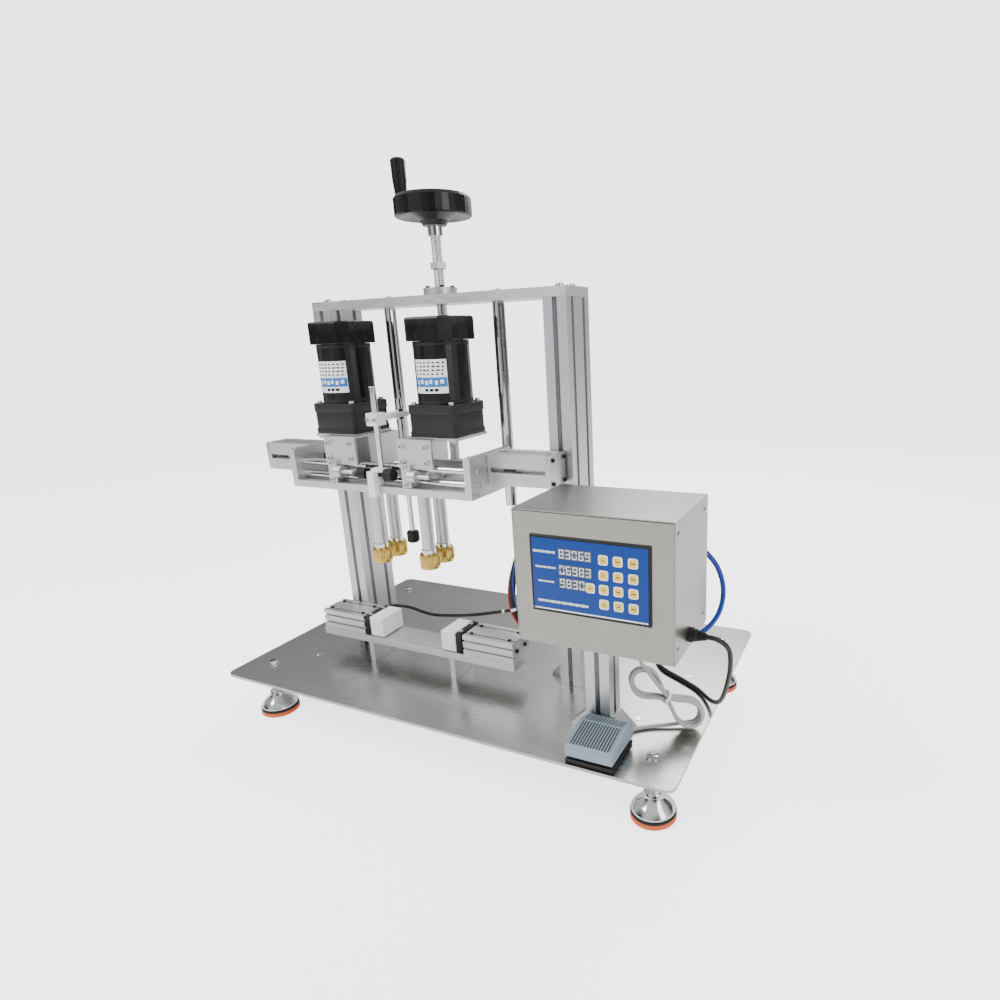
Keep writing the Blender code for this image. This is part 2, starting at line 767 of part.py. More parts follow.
def build_tray(body):
    """Make the carriage: floor with shelf, end walls, linear bearings and horizontal rods."""
    left = AXIS_X - TRAY_HALF
    right = AXIS_X + TRAY_HALF
    floor_top = TRAY_BOTTOM + TRAY_WALL
    inner_left = left + TRAY_WALL + GAP
    inner_right = right - TRAY_WALL - GAP
    edge = [
        (inner_left, TRAY_FRONT),
        (inner_right, TRAY_FRONT),
        (inner_right, RIGHT_WALL_BACK + 0.001),
        (SHELF_RIGHT, RIGHT_WALL_BACK + 0.001),
        (SHELF_RIGHT, SHELF_BACK),
        (SHELF_LEFT, SHELF_BACK),
        (SHELF_LEFT, TRAY_BACK),
        (inner_left, TRAY_BACK),
    ]
    room = SPINDLE_RADIUS + 0.003
    front = AXIS_Y - SPINDLE_OFFSET_Y - room
    back = AXIS_Y + SPINDLE_OFFSET_Y + room
    reach = room + 0.010
    openings = [AXIS_X - SPINDLE_OFFSET_X, AXIS_X + SPINDLE_OFFSET_X]
    holes = [rectangle(x - reach, front, x + reach, back) for x in openings]
    holes.append(circle(PRESSER_X, AXIS_Y, PRESSER_RADIUS + 0.0045, 16))
    for offset in (-GUIDE_OFFSET, GUIDE_OFFSET):
        holes.append(circle(SCREW_X + offset, SCREW_Y, GUIDE_RADIUS + 0.001))
    floor = solid(outline("carriage_floor", [edge, *holes], TRAY_BOTTOM, floor_top, MILLED))
    wall_left = box(
        "carriage_wall_left", (left, TRAY_FRONT, TRAY_BOTTOM), (left + TRAY_WALL, TRAY_BACK, TRAY_TOP), MILLED
    )
    wall_right = box(
        "carriage_wall_right",
        (right - TRAY_WALL, TRAY_FRONT, TRAY_BOTTOM),
        (right, RIGHT_WALL_BACK, TRAY_TOP),
        MILLED,
    )
    for wall, x in ((wall_left, left), (wall_right, right)):
        start = (x - 0.02, AXIS_Y, CYLINDER_Z)
        end = (x + 0.02, AXIS_Y, CYLINDER_Z)
        cut(wall, tool_rod(wall.name + "_hole", PISTON_RADIUS + 0.002, start, end, 20))
    pieces = [floor, wall_left, wall_right]
    bearing = [
        (GUIDE_RADIUS + GAP, BEARING_HEIGHT),
        (BEARING_RADIUS, BEARING_HEIGHT),
        (BEARING_RADIUS, 0.006),
        (BEARING_FLANGE_RADIUS, 0.006),
        (BEARING_FLANGE_RADIUS, 0.0),
        (GUIDE_RADIUS + GAP, 0.0),
    ]
    for name, offset in (("linear_bearing_left", -GUIDE_OFFSET), ("linear_bearing_right", GUIDE_OFFSET)):
        place = (SCREW_X + offset, SCREW_Y, floor_top - 0.001)
        join(floor, turned(name, bearing, place, None, 24, collection=CUTTERS))
    for name, z in zip(("slide_rod_lower", "slide_rod_upper"), SLIDE_ROD_Z):
        start = (left + TRAY_WALL + GAP, SLIDE_ROD_Y, z)
        end = (right - TRAY_WALL - GAP, SLIDE_ROD_Y, z)
        pieces.append(rod(name, SLIDE_ROD_RADIUS, start, end, CHROME, 20))
    attach(pieces, body)


def build_head_cylinders(body):
    """Make the two grooved air cylinders on the tray's end walls."""
    groove = [CYLINDER_SIDE / 2 + 0.0005]
    section = extrusion_outline(CYLINDER_SIDE, CYLINDER_SIDE, groove, groove)
    for name, side in (("head_cylinder_left", -1), ("head_cylinder_right", 1)):
        wall = AXIS_X + side * (TRAY_HALF + GAP)
        item = solid(outline(name, [section], 0.0, CYLINDER_LENGTH, EXTRUSION))
        middle = wall + side * CYLINDER_LENGTH / 2
        item.rotation_euler = (0.0, math.pi / 2, 0.0)
        item.location = (middle, AXIS_Y, CYLINDER_Z)
        start = (wall - side * 0.01, AXIS_Y, CYLINDER_Z)
        end = (wall + side * (CYLINDER_LENGTH - 0.020), AXIS_Y, CYLINDER_Z)
        cut(item, tool_rod(name + "_bore", PISTON_RADIUS + GAP, start, end, 20))
        attach([item], body)


def build_stops(body):
    """Make the centre stop bracket with its post, and the stop stud with two collars."""
    right = STOP_BRACKET_LEFT + STOP_BRACKET_WIDTH
    low = (STOP_BRACKET_LEFT, STOP_BRACKET_FRONT, STOP_BRACKET_BOTTOM)
    bracket = box("stop_bracket", low, (right, TRAY_FRONT - 0.0006, 0.490), WHITE_PLASTIC)
    heel_low = (STOP_BRACKET_LEFT + 0.0005, -0.170, TRAY_BOTTOM + TRAY_WALL + 0.0005)
    join(bracket, tool_box("stop_bracket_heel", heel_low, (right - 0.0005, -0.1545, 0.4892)))
    join(bracket, tool_box("stop_bracket_shoulder", (-0.110, -0.1685, 0.4880), (-0.0866, -0.1540, 0.4940)))
    stud_start = (AXIS_X - 0.05, STOP_Y, STOP_Z)
    stud_end = (AXIS_X + 0.05, STOP_Y, STOP_Z)
    cut(bracket, tool_rod("stop_bracket_bore", 0.0043, stud_start, stud_end, 16))
    post_end = (POST_X, POST_Y, POST_TOP)
    join(bracket, tool_rod("stop_post", POST_RADIUS, (POST_X, POST_Y, 0.4930), post_end, 20))
    near = STOP_SPACING - STOP_WIDTH / 2
    far = STOP_SPACING + STOP_WIDTH / 2
    profile = [
        (0.0, far),
        (STOP_RADIUS, far),
        (STOP_RADIUS, near),
        (0.004, near),
        (0.004, -near),
        (STOP_RADIUS, -near),
        (STOP_RADIUS, -far),
        (0.0, -far),
    ]
    stud = turned("stop_stud", profile, (AXIS_X, STOP_Y, STOP_Z), BLACK_RUBBER, 20, (1, 0, 0))
    attach([bracket, stud], body)


def build_presser(body):
    """Make the cap presser: clamp and arm on the post, rod, and rubber bumper."""
    low = PRESSER_CLAMP_BOTTOM
    high = low + PRESSER_CLAMP_HEIGHT
    arm = box("presser_arm", (POST_X - 0.011, -0.172, low), (POST_X + 0.011, -0.1505, high), WHITE_PLASTIC)
    join(arm, tool_box("presser_bar", (-0.112, -0.153, low + 0.006), (-0.090, -0.084, low + 0.014)))
    bore_start = (POST_X, POST_Y, low - 0.01)
    bore_end = (POST_X, POST_Y, high + 0.01)
    cut(arm, tool_rod("presser_post_bore", POST_RADIUS + GAP, bore_start, bore_end, 20))
    rod_start = (PRESSER_X, AXIS_Y, BUMPER_TOP + GAP)
    rod_end = (PRESSER_X, AXIS_Y, high + 0.016)
    join(arm, tool_rod("presser_rod", PRESSER_RADIUS, rod_start, rod_end, 16))
    profile = [
        (0.0, BUMPER_TOP),
        (BUMPER_RADIUS - 0.002, BUMPER_TOP),
        (BUMPER_RADIUS, BUMPER_TOP - 0.002),
        (BUMPER_RADIUS, BUMPER_BOTTOM + 0.003),
        (BUMPER_RADIUS - 0.003, BUMPER_BOTTOM),
        (0.0, BUMPER_BOTTOM),
    ]
    bumper = turned("presser_bumper", profile, (PRESSER_X, AXIS_Y, 0.0), BLACK_RUBBER, 20)
    attach([arm, bumper], body)


def build_bracket(name, side, motor_x):
    """Make one head's bracket: mount plate, front plate, rod clamp, spindle block and piston rod."""
    plate_top = GEARBOX_BOTTOM - GAP
    plate_low = plate_top - 0.0047
    half = GEARBOX_SIDE / 2
    back = AXIS_Y + half
    bracket = box(name, (motor_x - half, AXIS_Y - half, plate_low), (motor_x + half, back, plate_top), MILLED)
    middle = motor_x + (BRACKET_SHIFT if side < 0 else -BRACKET_SHIFT)
    left = middle - BRACKET_WIDTH / 2
    right = middle + BRACKET_WIDTH / 2
    front_back = BRACKET_FRONT + BRACKET_FRONT_THICK
    front_low = (left, BRACKET_FRONT, BRACKET_FRONT_BOTTOM)
    join(bracket, tool_box(name + "_front", front_low, (right, front_back, plate_top - 0.001)))
    lip_low = (left + 0.001, BRACKET_FRONT + 0.001, plate_low + 0.0006)
    join(bracket, tool_box(name + "_lip", lip_low, (right - 0.001, AXIS_Y + 0.003, plate_top - 0.0005)))
    block_x = middle + CLAMP_BLOCK_SHIFT
    low = (block_x - CLAMP_BLOCK_WIDTH / 2, -0.1655, TRAY_BOTTOM + TRAY_WALL + 0.0006)
    high = (block_x + CLAMP_BLOCK_WIDTH / 2, -0.1385, 0.5030)
    join(bracket, tool_box(name + "_clamp_block", low, high))
    boss_start = (high[0] - 0.002, STOP_Y, STOP_Z)
    boss_end = (high[0] + 0.012, STOP_Y, STOP_Z)
    join(bracket, tool_rod(name + "_boss", 0.0100, boss_start, boss_end, 20))
    join(bracket, tool_rod(name + "_stud", 0.0035, boss_start, (high[0] + 0.036, STOP_Y, STOP_Z), 16))
    spindle_x = AXIS_X + side * SPINDLE_OFFSET_X
    block_low = (spindle_x - 0.016, AXIS_Y - 0.0375, SPINDLE_BLOCK_BOTTOM)
    block_high = (spindle_x + 0.016, AXIS_Y + 0.0375, plate_low + 0.0018)
    join(bracket, tool_box(name + "_spindle_block", block_low, block_high))
    rod_start = (spindle_x + side * 0.014, AXIS_Y, CYLINDER_Z)
    rod_end = (AXIS_X + side * (TRAY_HALF + 0.045), AXIS_Y, CYLINDER_Z)
    join(bracket, tool_rod(name + "_piston_rod", PISTON_RADIUS, rod_start, rod_end, 20))
    for rod_name, z in zip(("lower", "upper"), SLIDE_ROD_Z):
        start = (block_x - 0.02, SLIDE_ROD_Y, z)
        end = (block_x + 0.02, SLIDE_ROD_Y, z)
        cut(bracket, tool_rod(f"{name}_{rod_name}_bore", SLIDE_ROD_RADIUS + GAP, start, end, 20))
    for place, depth in (("front", -1), ("rear", 1)):
        y = AXIS_Y + depth * SPINDLE_OFFSET_Y
        start = (spindle_x, y, SPINDLE_BLOCK_BOTTOM - 0.01)
        end = (spindle_x, y, plate_low - 0.005)
        cut(bracket, tool_rod(f"{name}_{place}_bore", JOURNAL_RADIUS + GAP, start, end, 20))
    return bracket


def build_motor(head, motor_x):
    """Make one head's gearbox, round motor and fan cover."""
    half = GEARBOX_SIDE / 2
    top = GEARBOX_BOTTOM + GEARBOX_HEIGHT
    low = (motor_x - half, AXIS_Y - half, GEARBOX_BOTTOM)
    gearbox = box(f"gearbox_{head}", low, (motor_x + half, AXIS_Y + half, top), BLACK_PAINT)
    edge_bevel(gearbox, 0.002)
    start = (motor_x, AXIS_Y, top + GAP)
    end = (motor_x, AXIS_Y, FAN_BOTTOM - GAP)
    motor = rod(f"motor_{head}", MOTOR_RADIUS, start, end, BLACK_PAINT, 32)
    inset = half - FAN_CHAMFER
    corners = [(half, inset), (inset, half), (-inset, half), (-half, inset)]
    points = corners + [(-x, -y) for x, y in corners]
    cover = outline(f"fan_cover_{head}", [points], FAN_BOTTOM, FAN_TOP, BLACK_PLASTIC, (motor_x, AXIS_Y))
    return [gearbox, motor, cover]


def build_heads(carriage):
    """Make both capping heads with their four spindles."""
    profile = [
        (0.0, GEARBOX_BOTTOM - 0.012),
        (JOURNAL_RADIUS, GEARBOX_BOTTOM - 0.012),
        (JOURNAL_RADIUS, SPINDLE_BLOCK_BOTTOM - GAP),
        (SPINDLE_RADIUS, SPINDLE_BLOCK_BOTTOM - GAP),
        (SPINDLE_RADIUS, ROLLER_TOP),
        (ROLLER_RADIUS - 0.001, ROLLER_TOP),
        (ROLLER_RADIUS, ROLLER_TOP - 0.001),
        (ROLLER_RADIUS, ROLLER_BOTTOM + 0.001),
        (ROLLER_RADIUS - 0.001, ROLLER_BOTTOM),
        (0.0, ROLLER_BOTTOM),
    ]
    heads = {}
    for head, side in (("left", -1), ("right", 1)):
        motor_x = AXIS_X + side * HEAD_OFFSET
        heads[head] = body_empty(f"head_{head}_body", (motor_x, AXIS_Y, GEARBOX_BOTTOM), carriage)
        bracket = build_bracket(f"head_bracket_{head}", side, motor_x)
        attach([bracket, *build_motor(head, motor_x)], heads[head])
    for head, place, x, y in spindle_places():
        spindle = turned(f"spindle_{head}_{place}", profile, (x, y, 0.0), BRASS, 24)
        attach([spindle], body_empty(f"spindle_{head}_{place}_body", (x, y, ROLLER_BOTTOM), heads[head]))


def build_bottle_clamp():
    """Make the clamp table and its two twin-rod cylinders with sliding jaws."""
    left = AXIS_X - TABLE_HALF
    right = AXIS_X + TABLE_HALF
    table = box("clamp_table", (left, TABLE_FRONT, TABLE_BOTTOM), (right, TABLE_BACK, TABLE_TOP), MILLED)
    for index, x in enumerate(SUPPORT_X):
        low = (x - SUPPORT_THICK / 2, TABLE_FRONT + 0.001, PLATE_TOP + GAP)
        high = (x + SUPPORT_THICK / 2, TABLE_BACK - 0.002, TABLE_BOTTOM + 0.004)
        join(table, tool_box(f"clamp_support_{index}", low, high))
    middle_y = (TABLE_FRONT + TABLE_BACK) / 2
    rod_y = [middle_y - CLAMP_ROD_SPACING / 2, middle_y + CLAMP_ROD_SPACING / 2]
    for name, side in (("left", -1), ("right", 1)):
        pad_face = AXIS_X + side * JAW_OPEN
        pad_back = pad_face + side * PAD_THICK
        plate_front = pad_back + side * GAP
        plate_back = plate_front + side * JAW_PLATE_THICK
        body_front = plate_back + side * 0.003
        body_back = body_front + side * CLAMP_CYLINDER_LENGTH
        jaw = body_empty(f"jaw_{name}_body", (plate_back, middle_y, CLAMP_ROD_Z))
        low = (min(body_front, body_back), TABLE_FRONT + 0.001, TABLE_TOP + GAP)
        high = (max(body_front, body_back), TABLE_BACK, JAW_TOP - 0.001)
        barrel = box(f"clamp_cylinder_{name}", low, high, EXTRUSION)
        low = (min(plate_front, plate_back), TABLE_FRONT + 0.001, TABLE_TOP + 0.0012)
        high = (max(plate_front, plate_back), TABLE_BACK, JAW_TOP)
        plate = box(f"jaw_plate_{name}", low, high, BLACK_PLASTIC)
        for index, y in enumerate(rod_y):
            start = (plate_front + side * 0.002, y, CLAMP_ROD_Z)
            inside = (body_front + side * 0.080, y, CLAMP_ROD_Z)
            join(plate, tool_rod(f"jaw_{name}_rod_{index}", CLAMP_ROD_RADIUS, start, inside, 16))
            bottom = (body_front + side * 0.090, y, CLAMP_ROD_Z)
            tool = tool_rod(f"cylinder_{name}_bore_{index}", CLAMP_ROD_RADIUS + GAP, start, bottom, 16)
            cut(barrel, tool)
        low = (min(pad_face, pad_back), TABLE_FRONT, TABLE_TOP + 0.0015)
        high = (max(pad_face, pad_back), TABLE_BACK, JAW_TOP + 0.001)
        pad = box(f"jaw_pad_{name}", low, high, WHITE_PLASTIC)
        edge_bevel(pad, 0.0015)
        attach([plate, pad], jaw)


def folded_sheet(name, corners, depth, direction, look):
    """Fold a strip of sheet through the given (a, b) corners and give it its wall thickness."""
    mesh = bpy.data.meshes.new(name)
    work = bmesh.new()
    edges = []
    for offset in (0.0, depth):
        row = []
        for a, b in corners:
            place = (offset, a, b) if direction == "X" else (a, offset, b)
            row.append(work.verts.new(place))
        edges.append(row)
    near, far = edges
    for i in range(len(corners) - 1):
        work.faces.new((near[i], near[i + 1], far[i + 1], far[i]))
    work.to_mesh(mesh)
    work.free()
    item = register(name, mesh, look)
    wall = item.modifiers.new("wall", "SOLIDIFY")
    wall.thickness = BOX_SHEET
    wall.offset = 0.0
    wall.use_even_offset = True
    return item


def build_control_box():
    """Make the box's folded body and cover, its key panel and its post."""
    half = BOX_SHEET / 2
    step = BOX_SHEET + GAP
    inner_top = BOX_TOP - step - half
    body_corners = [
        (BOX_FRONT + half, inner_top),
        (BOX_FRONT + half, BOX_BOTTOM + half),
        (BOX_BACK - half, BOX_BOTTOM + half),
        (BOX_BACK - half, inner_top),
    ]
    inner_width = BOX_RIGHT - BOX_LEFT - 2 * step
    body = folded_sheet("control_box_body", body_corners, inner_width, "X", STAINLESS)
    body.location = (BOX_LEFT + step, 0.0, 0.0)
    cover_corners = [
        (BOX_LEFT + half, BOX_BOTTOM),
        (BOX_LEFT + half, BOX_TOP - half),
        (BOX_RIGHT - half, BOX_TOP - half),
        (BOX_RIGHT - half, BOX_BOTTOM),
    ]
    cover = folded_sheet("control_box_cover", cover_corners, BOX_BACK - BOX_FRONT, "Y", STAINLESS)
    cover.location = (0.0, BOX_FRONT, 0.0)
    panel = box(
        "key_panel",
        (PANEL_LEFT, BOX_FRONT - GAP - PANEL_THICK, PANEL_BOTTOM),
        (PANEL_RIGHT, BOX_FRONT - GAP, PANEL_TOP),
        PANEL_BLUE,
    )
    edge_bevel(panel, 0.0006)
    centre = [BOX_POST_SIDE / 2]
    section = extrusion_outline(BOX_POST_SIDE, BOX_POST_SIDE, centre, centre)
    outline("box_post", [section], PLATE_TOP + GAP, BOX_BOTTOM - GAP, EXTRUSION, (BOX_POST_X, BOX_POST_Y))


def build_pedal():
    """Make the foot pedal's base and its hinged treadle."""
    base_top = PLATE_TOP + GAP + PEDAL_BASE_HEIGHT
    base = box(
        "pedal_base",
        (PEDAL_LEFT, PEDAL_FRONT, PLATE_TOP + GAP),
        (PEDAL_RIGHT, PEDAL_BACK, base_top),
        BLACK_PLASTIC,
    )
    edge_bevel(base, 0.0015)
    side_outline = [
        (PEDAL_FRONT, TREADLE_BOTTOM),
        (PEDAL_BACK, TREADLE_BOTTOM),
        (PEDAL_BACK, TREADLE_BACK_TOP),
        (TREADLE_RIDGE_Y, TREADLE_RIDGE_TOP),
        (PEDAL_FRONT + 0.003, TREADLE_FRONT_TOP),
        (PEDAL_FRONT, TREADLE_FRONT_TOP - 0.005),
    ]
    mesh = bpy.data.meshes.new("treadle")
    work = bmesh.new()
    verts = [work.verts.new((PEDAL_LEFT, y, z)) for y, z in side_outline]
    face = work.faces.new(verts)
    grown = bmesh.ops.extrude_face_region(work, geom=[face])
    moved = [item for item in grown["geom"] if isinstance(item, bmesh.types.BMVert)]
    bmesh.ops.translate(work, vec=(PEDAL_RIGHT - PEDAL_LEFT, 0.0, 0.0), verts=moved)
    bmesh.ops.recalc_face_normals(work, faces=work.faces)
    work.to_mesh(mesh)
    work.free()
    treadle = register("treadle", mesh, PEDAL_GREY)
    edge_bevel(treadle, 0.002, 2)
    pivot = body_empty("treadle_body", (PEDAL_LEFT, PEDAL_BACK - 0.003, TREADLE_BOTTOM + 0.001))
    attach([treadle], pivot)


def build_cords():
    """Make the plain tubes and coils of the hoses and cords."""
    cord("air_hose", AIR_HOSE_ROUTE, AIR_HOSE_RADIUS, BLUE_HOSE)
    cord("power_lead", POWER_LEAD_ROUTE, POWER_LEAD_RADIUS, BLACK_RUBBER)
    cord("clamp_hose", CLAMP_HOSE_ROUTE, CLAMP_HOSE_RADIUS, BLACK_RUBBER)
    cord("pedal_cord", PEDAL_CORD_ROUTE, PEDAL_CORD_RADIUS, GREY_CORD)
    cord("wire_loom", LOOM_ROUTE, LOOM_RADIUS, BLACK_RUBBER)
    low = PLATE_TOP + GAP
    ring = [
        (COIL_RADIUS - COIL_WALL, COIL_TOP),
        (COIL_RADIUS + COIL_WALL, COIL_TOP),
        (COIL_RADIUS + COIL_WALL, low),
        (COIL_RADIUS - COIL_WALL, low),
    ]
    turned("power_lead_coil", ring, (*COIL_CENTRE, 0.0), BLACK_RUBBER, 24)
    plug = box("power_plug", PLUG_LOW, PLUG_HIGH, BLACK_PLASTIC)
    edge_bevel(plug, 0.003, 2)
    gland = [
        (0.0, GLAND_LENGTH),
        (0.0050, GLAND_LENGTH),
        (0.0072, GLAND_LENGTH - 0.006),
        (0.0086, 0.006),
        (0.0105, 0.005),
        (0.0105, 0.0),
        (0.0, 0.0),
    ]
    turned("power_gland", gland, (BOX_RIGHT + GAP, *GLAND_PLACE), BLACK_PLASTIC, 20, (1, 0, 0))
    build_hank()


def build_hank():
    """Make the tied hank, a flat bow of two loops, with the cord that rises from it to the box."""
    points = []
    for step in range(40):
        angle = math.tau * step / 40
        along = HANK_HALF_LENGTH * math.cos(angle)
        pinch = (1 - HANK_WAIST / HANK_HALF_WIDTH) * math.exp(-((along / HANK_WAIST_REACH) ** 2))
        points.append((along, HANK_HALF_WIDTH * math.sin(angle) * (1 - pinch)))
    hank = solid(outline("pedal_cord_hank", [points], -HANK_THICK / 2, HANK_THICK / 2, GREY_CORD))
    across = Vector(HANK_ACROSS).normalized()
    normal = Vector(HANK_ALONG).cross(across).normalized()
    turn = Matrix((across.cross(normal), across, normal)).transposed()
    hank.matrix_world = Matrix.Translation(Vector(HANK_TIE)) @ turn.to_4x4()
    riser = solid(cord("riser", RISER_ROUTE, PEDAL_CORD_RADIUS, GREY_CORD))
    join(hank, riser)


def main():
    """Build the whole machine."""
    build_base()
    build_frame()
    carriage = body_empty("carriage_body", (SCREW_X, SCREW_Y, TRAY_BOTTOM))
    build_screw(body_empty("screw_body", (SCREW_X, SCREW_Y, WHEEL_BOTTOM), carriage))
    build_tray(carriage)
    build_head_cylinders(carriage)
    build_stops(carriage)
    build_presser(body_empty("presser_body", (PRESSER_X, AXIS_Y, PRESSER_CLAMP_BOTTOM), carriage))
    build_heads(carriage)
    build_bottle_clamp()
    build_control_box()
    build_pedal()
    build_cords()


main()
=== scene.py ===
"""Looks of the two-head bench capping machine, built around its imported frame."""

from __future__ import annotations

import logging
import math
from dataclasses import dataclass
from enum import Enum
from typing import Callable, Sequence

import bpy
import numpy as np
from mathutils import Matrix, Vector


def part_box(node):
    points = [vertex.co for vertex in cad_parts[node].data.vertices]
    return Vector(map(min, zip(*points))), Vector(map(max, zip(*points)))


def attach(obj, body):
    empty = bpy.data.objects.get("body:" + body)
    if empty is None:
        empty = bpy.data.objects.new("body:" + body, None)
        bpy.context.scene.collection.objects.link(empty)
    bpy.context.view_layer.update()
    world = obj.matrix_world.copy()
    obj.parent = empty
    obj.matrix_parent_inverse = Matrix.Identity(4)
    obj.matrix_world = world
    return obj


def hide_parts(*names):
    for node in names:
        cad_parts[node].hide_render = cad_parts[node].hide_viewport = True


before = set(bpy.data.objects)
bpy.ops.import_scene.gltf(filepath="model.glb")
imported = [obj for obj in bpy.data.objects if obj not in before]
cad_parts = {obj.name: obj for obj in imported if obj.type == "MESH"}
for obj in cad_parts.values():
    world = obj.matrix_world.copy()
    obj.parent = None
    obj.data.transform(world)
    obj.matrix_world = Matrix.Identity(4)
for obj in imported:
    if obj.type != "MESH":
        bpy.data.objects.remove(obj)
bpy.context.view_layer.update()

LOG = logging.getLogger("capping_machine")
Point = Sequence[float]
TAU = math.tau

# Sockets of a Mix node that mixes colours
MIX_A, MIX_B, MIX_RESULT = 6, 7, 2

# Smallest radius of a pole, so that its faces keep an area
POLE = 0.00002


class Body(str, Enum):
    """The moving bodies that pieces ride on."""

    FRAME = "frame"
    CARRIAGE = "carriage"
    SCREW = "screw"
    GRIP = "grip"
    LOCK_NUT = "lock_nut"
    HEAD_LEFT = "head_left"
    HEAD_RIGHT = "head_right"
    PRESSER = "presser"
    JAW_LEFT = "jaw_left"
    JAW_RIGHT = "jaw_right"
    PEDAL = "pedal"
    SPINDLE_LEFT_FRONT = "spindle_left_front"
    SPINDLE_LEFT_REAR = "spindle_left_rear"
    SPINDLE_RIGHT_FRONT = "spindle_right_front"
    SPINDLE_RIGHT_REAR = "spindle_right_rear"


class Axis(Enum):
    """Where a surface's own X, Y and Z directions go when it is laid along another axis."""

    RIGHT = ((0, 1, 0), (0, 0, 1), (1, 0, 0))
    LEFT = ((0, 0, 1), (0, 1, 0), (-1, 0, 0))
    BACK = ((0, 0, 1), (1, 0, 0), (0, 1, 0))
    FRONT = ((1, 0, 0), (0, 0, 1), (0, -1, 0))
    UP = ((1, 0, 0), (0, 1, 0), (0, 0, 1))
    DOWN = ((0, 1, 0), (1, 0, 0), (0, 0, -1))


# ---------------------------------------------------------------- surfaces


@dataclass
class Surface:
    """A closed surface: an array of points, and faces as rows of point numbers."""

    points: np.ndarray
    faces: list[tuple[int, ...]]

    def moved(self, place: Point, axis: Axis = Axis.UP) -> "Surface":
        """Lay the surface's Z direction along another axis and move its origin to a place.

        Args:
            place: Where the origin goes.
            axis: The direction that the surface's own Z takes.

        Returns:
            The moved surface.
        """
        return Surface(self.points @ np.array(axis.value, float) + np.array(place, float), self.faces)


def joined(surfaces: Sequence[Surface]) -> Surface:
    """Put several surfaces in one, numbering the points of each after those of the one before.

    Args:
        surfaces: The surfaces to join.

    Returns:
        One surface that holds them all.
    """
    starts = np.cumsum([0] + [len(surface.points) for surface in surfaces])
    faces = [
        tuple(int(start) + number for number in face)
        for start, surface in zip(starts, surfaces)
        for face in surface.faces
    ]
    return Surface(np.concatenate([surface.points for surface in surfaces]), faces)


def lofted(rings: np.ndarray, closed: bool = False) -> Surface:
    """Skin a stack of rings with the same number of points; its ends are closed by flat faces.

    The point at row i and column j of the grid is joined to rows i and i + 1 and columns j and j + 1, and
    the columns wrap round.

    Args:
        rings: Array of shape (rows, columns, 3), each ring anticlockwise about the way the stack grows.
        closed: Whether the last ring joins the first one instead of being capped.

    Returns:
        The closed surface.
    """
    rows, columns = rings.shape[:2]
    last = rows if closed else rows - 1
    i, j = np.meshgrid(np.arange(last), np.arange(columns), indexing="ij")
    up = (i + 1) % rows
    side = (j + 1) % columns
    grid = np.stack([i * columns + j, i * columns + side, up * columns + side, up * columns + j], -1)
    faces = [tuple(face) for face in grid.reshape(-1, 4).tolist()]
    if not closed:
        faces.append(tuple(range(columns))[::-1])
        faces.append(tuple(range((rows - 1) * columns, rows * columns)))
    return Surface(rings.reshape(-1, 3), faces)


def turned(profile: Sequence[tuple[float, float]], steps: int = 48, closed: bool = False) -> Surface:
    """Turn a profile about Z: the point at angle t is (r cos t, r sin t, h) for each (r, h).

    Args:
        profile: (radius, height) pairs from the bottom up.
        steps: Number of points round the circle.
        closed: Whether the profile is a loop, as for a ring.

    Returns:
        The closed surface.
    """
    pairs = np.array(profile, float)
    turn = np.arange(steps) * TAU / steps
    radius = np.maximum(pairs[:, 0], POLE)[:, None]
    rings = np.stack(
        [radius * np.cos(turn), radius * np.sin(turn), np.repeat(pairs[:, 1][:, None], steps, 1)], -1
    )
    return lofted(rings, closed)


def rounded_outline(width: float, depth: float, radius: float, steps: int = 5) -> np.ndarray:
    """List a rectangle with round corners: four quarter circles of the given radius, centred on the origin.

    Args:
        width: Size along X.
        depth: Size along Y.
        radius: Radius of the corners.
        steps: Points along each quarter circle, less one.

    Returns:
        Array of (x, y) points, anticlockwise.
    """
    turn = np.linspace(0, TAU / 4, steps + 1)
    corners = []
    for k, (sx, sy) in enumerate(((1, 1), (-1, 1), (-1, -1), (1, -1))):
        angle = turn + k * TAU / 4
        centre = np.array([sx * (width / 2 - radius), sy * (depth / 2 - radius)])
        corners.append(centre + radius * np.stack([np.cos(angle), np.sin(angle)], -1))
    return np.concatenate(corners)


def slab(width: float, depth: float, height: float, corner: float, edge: float) -> Surface:
    """Make a plate with round corners and a rounded top and bottom edge, standing on its origin.

    Ring k is the outline shrunk by edge (1 - cos a) and lifted by edge (1 - sin a), with a from 0 to 90
    degrees.

    Args:
        width: Size along X.
        depth: Size along Y.
        height: Size along Z.
        corner: Radius of the upright corners.
        edge: Radius of the top and bottom edges.

    Returns:
        The closed surface.
    """
    angle = np.linspace(0, TAU / 4, 4)
    inset = np.concatenate([edge * (1 - np.sin(angle)), edge * (1 - np.cos(angle))])
    lift = np.concatenate([edge * (1 - np.cos(angle)), height - edge * (1 - np.sin(angle))])
    rings = []
    for shrink, z in zip(inset, lift):
        radius = max(corner - shrink, 0.00005)
        flat = rounded_outline(width - 2 * shrink, depth - 2 * shrink, radius)
        rings.append(np.column_stack([flat, np.full(len(flat), z)]))
    return lofted(np.array(rings))


def block(low: Point, high: Point, edge: float = 0.0006) -> Surface:
    """Make a box with rounded edges between two corners.

    Args:
        low: Lowest corner.
        high: Highest corner.
        edge: Radius of all its edges.

    Returns:
        The closed surface.
    """
    size = np.array(high, float) - np.array(low, float)
    middle = (np.array(high, float) + np.array(low, float)) / 2
    made = slab(size[0], size[1], size[2], edge, edge)
    return made.moved((middle[0], middle[1], low[2]))


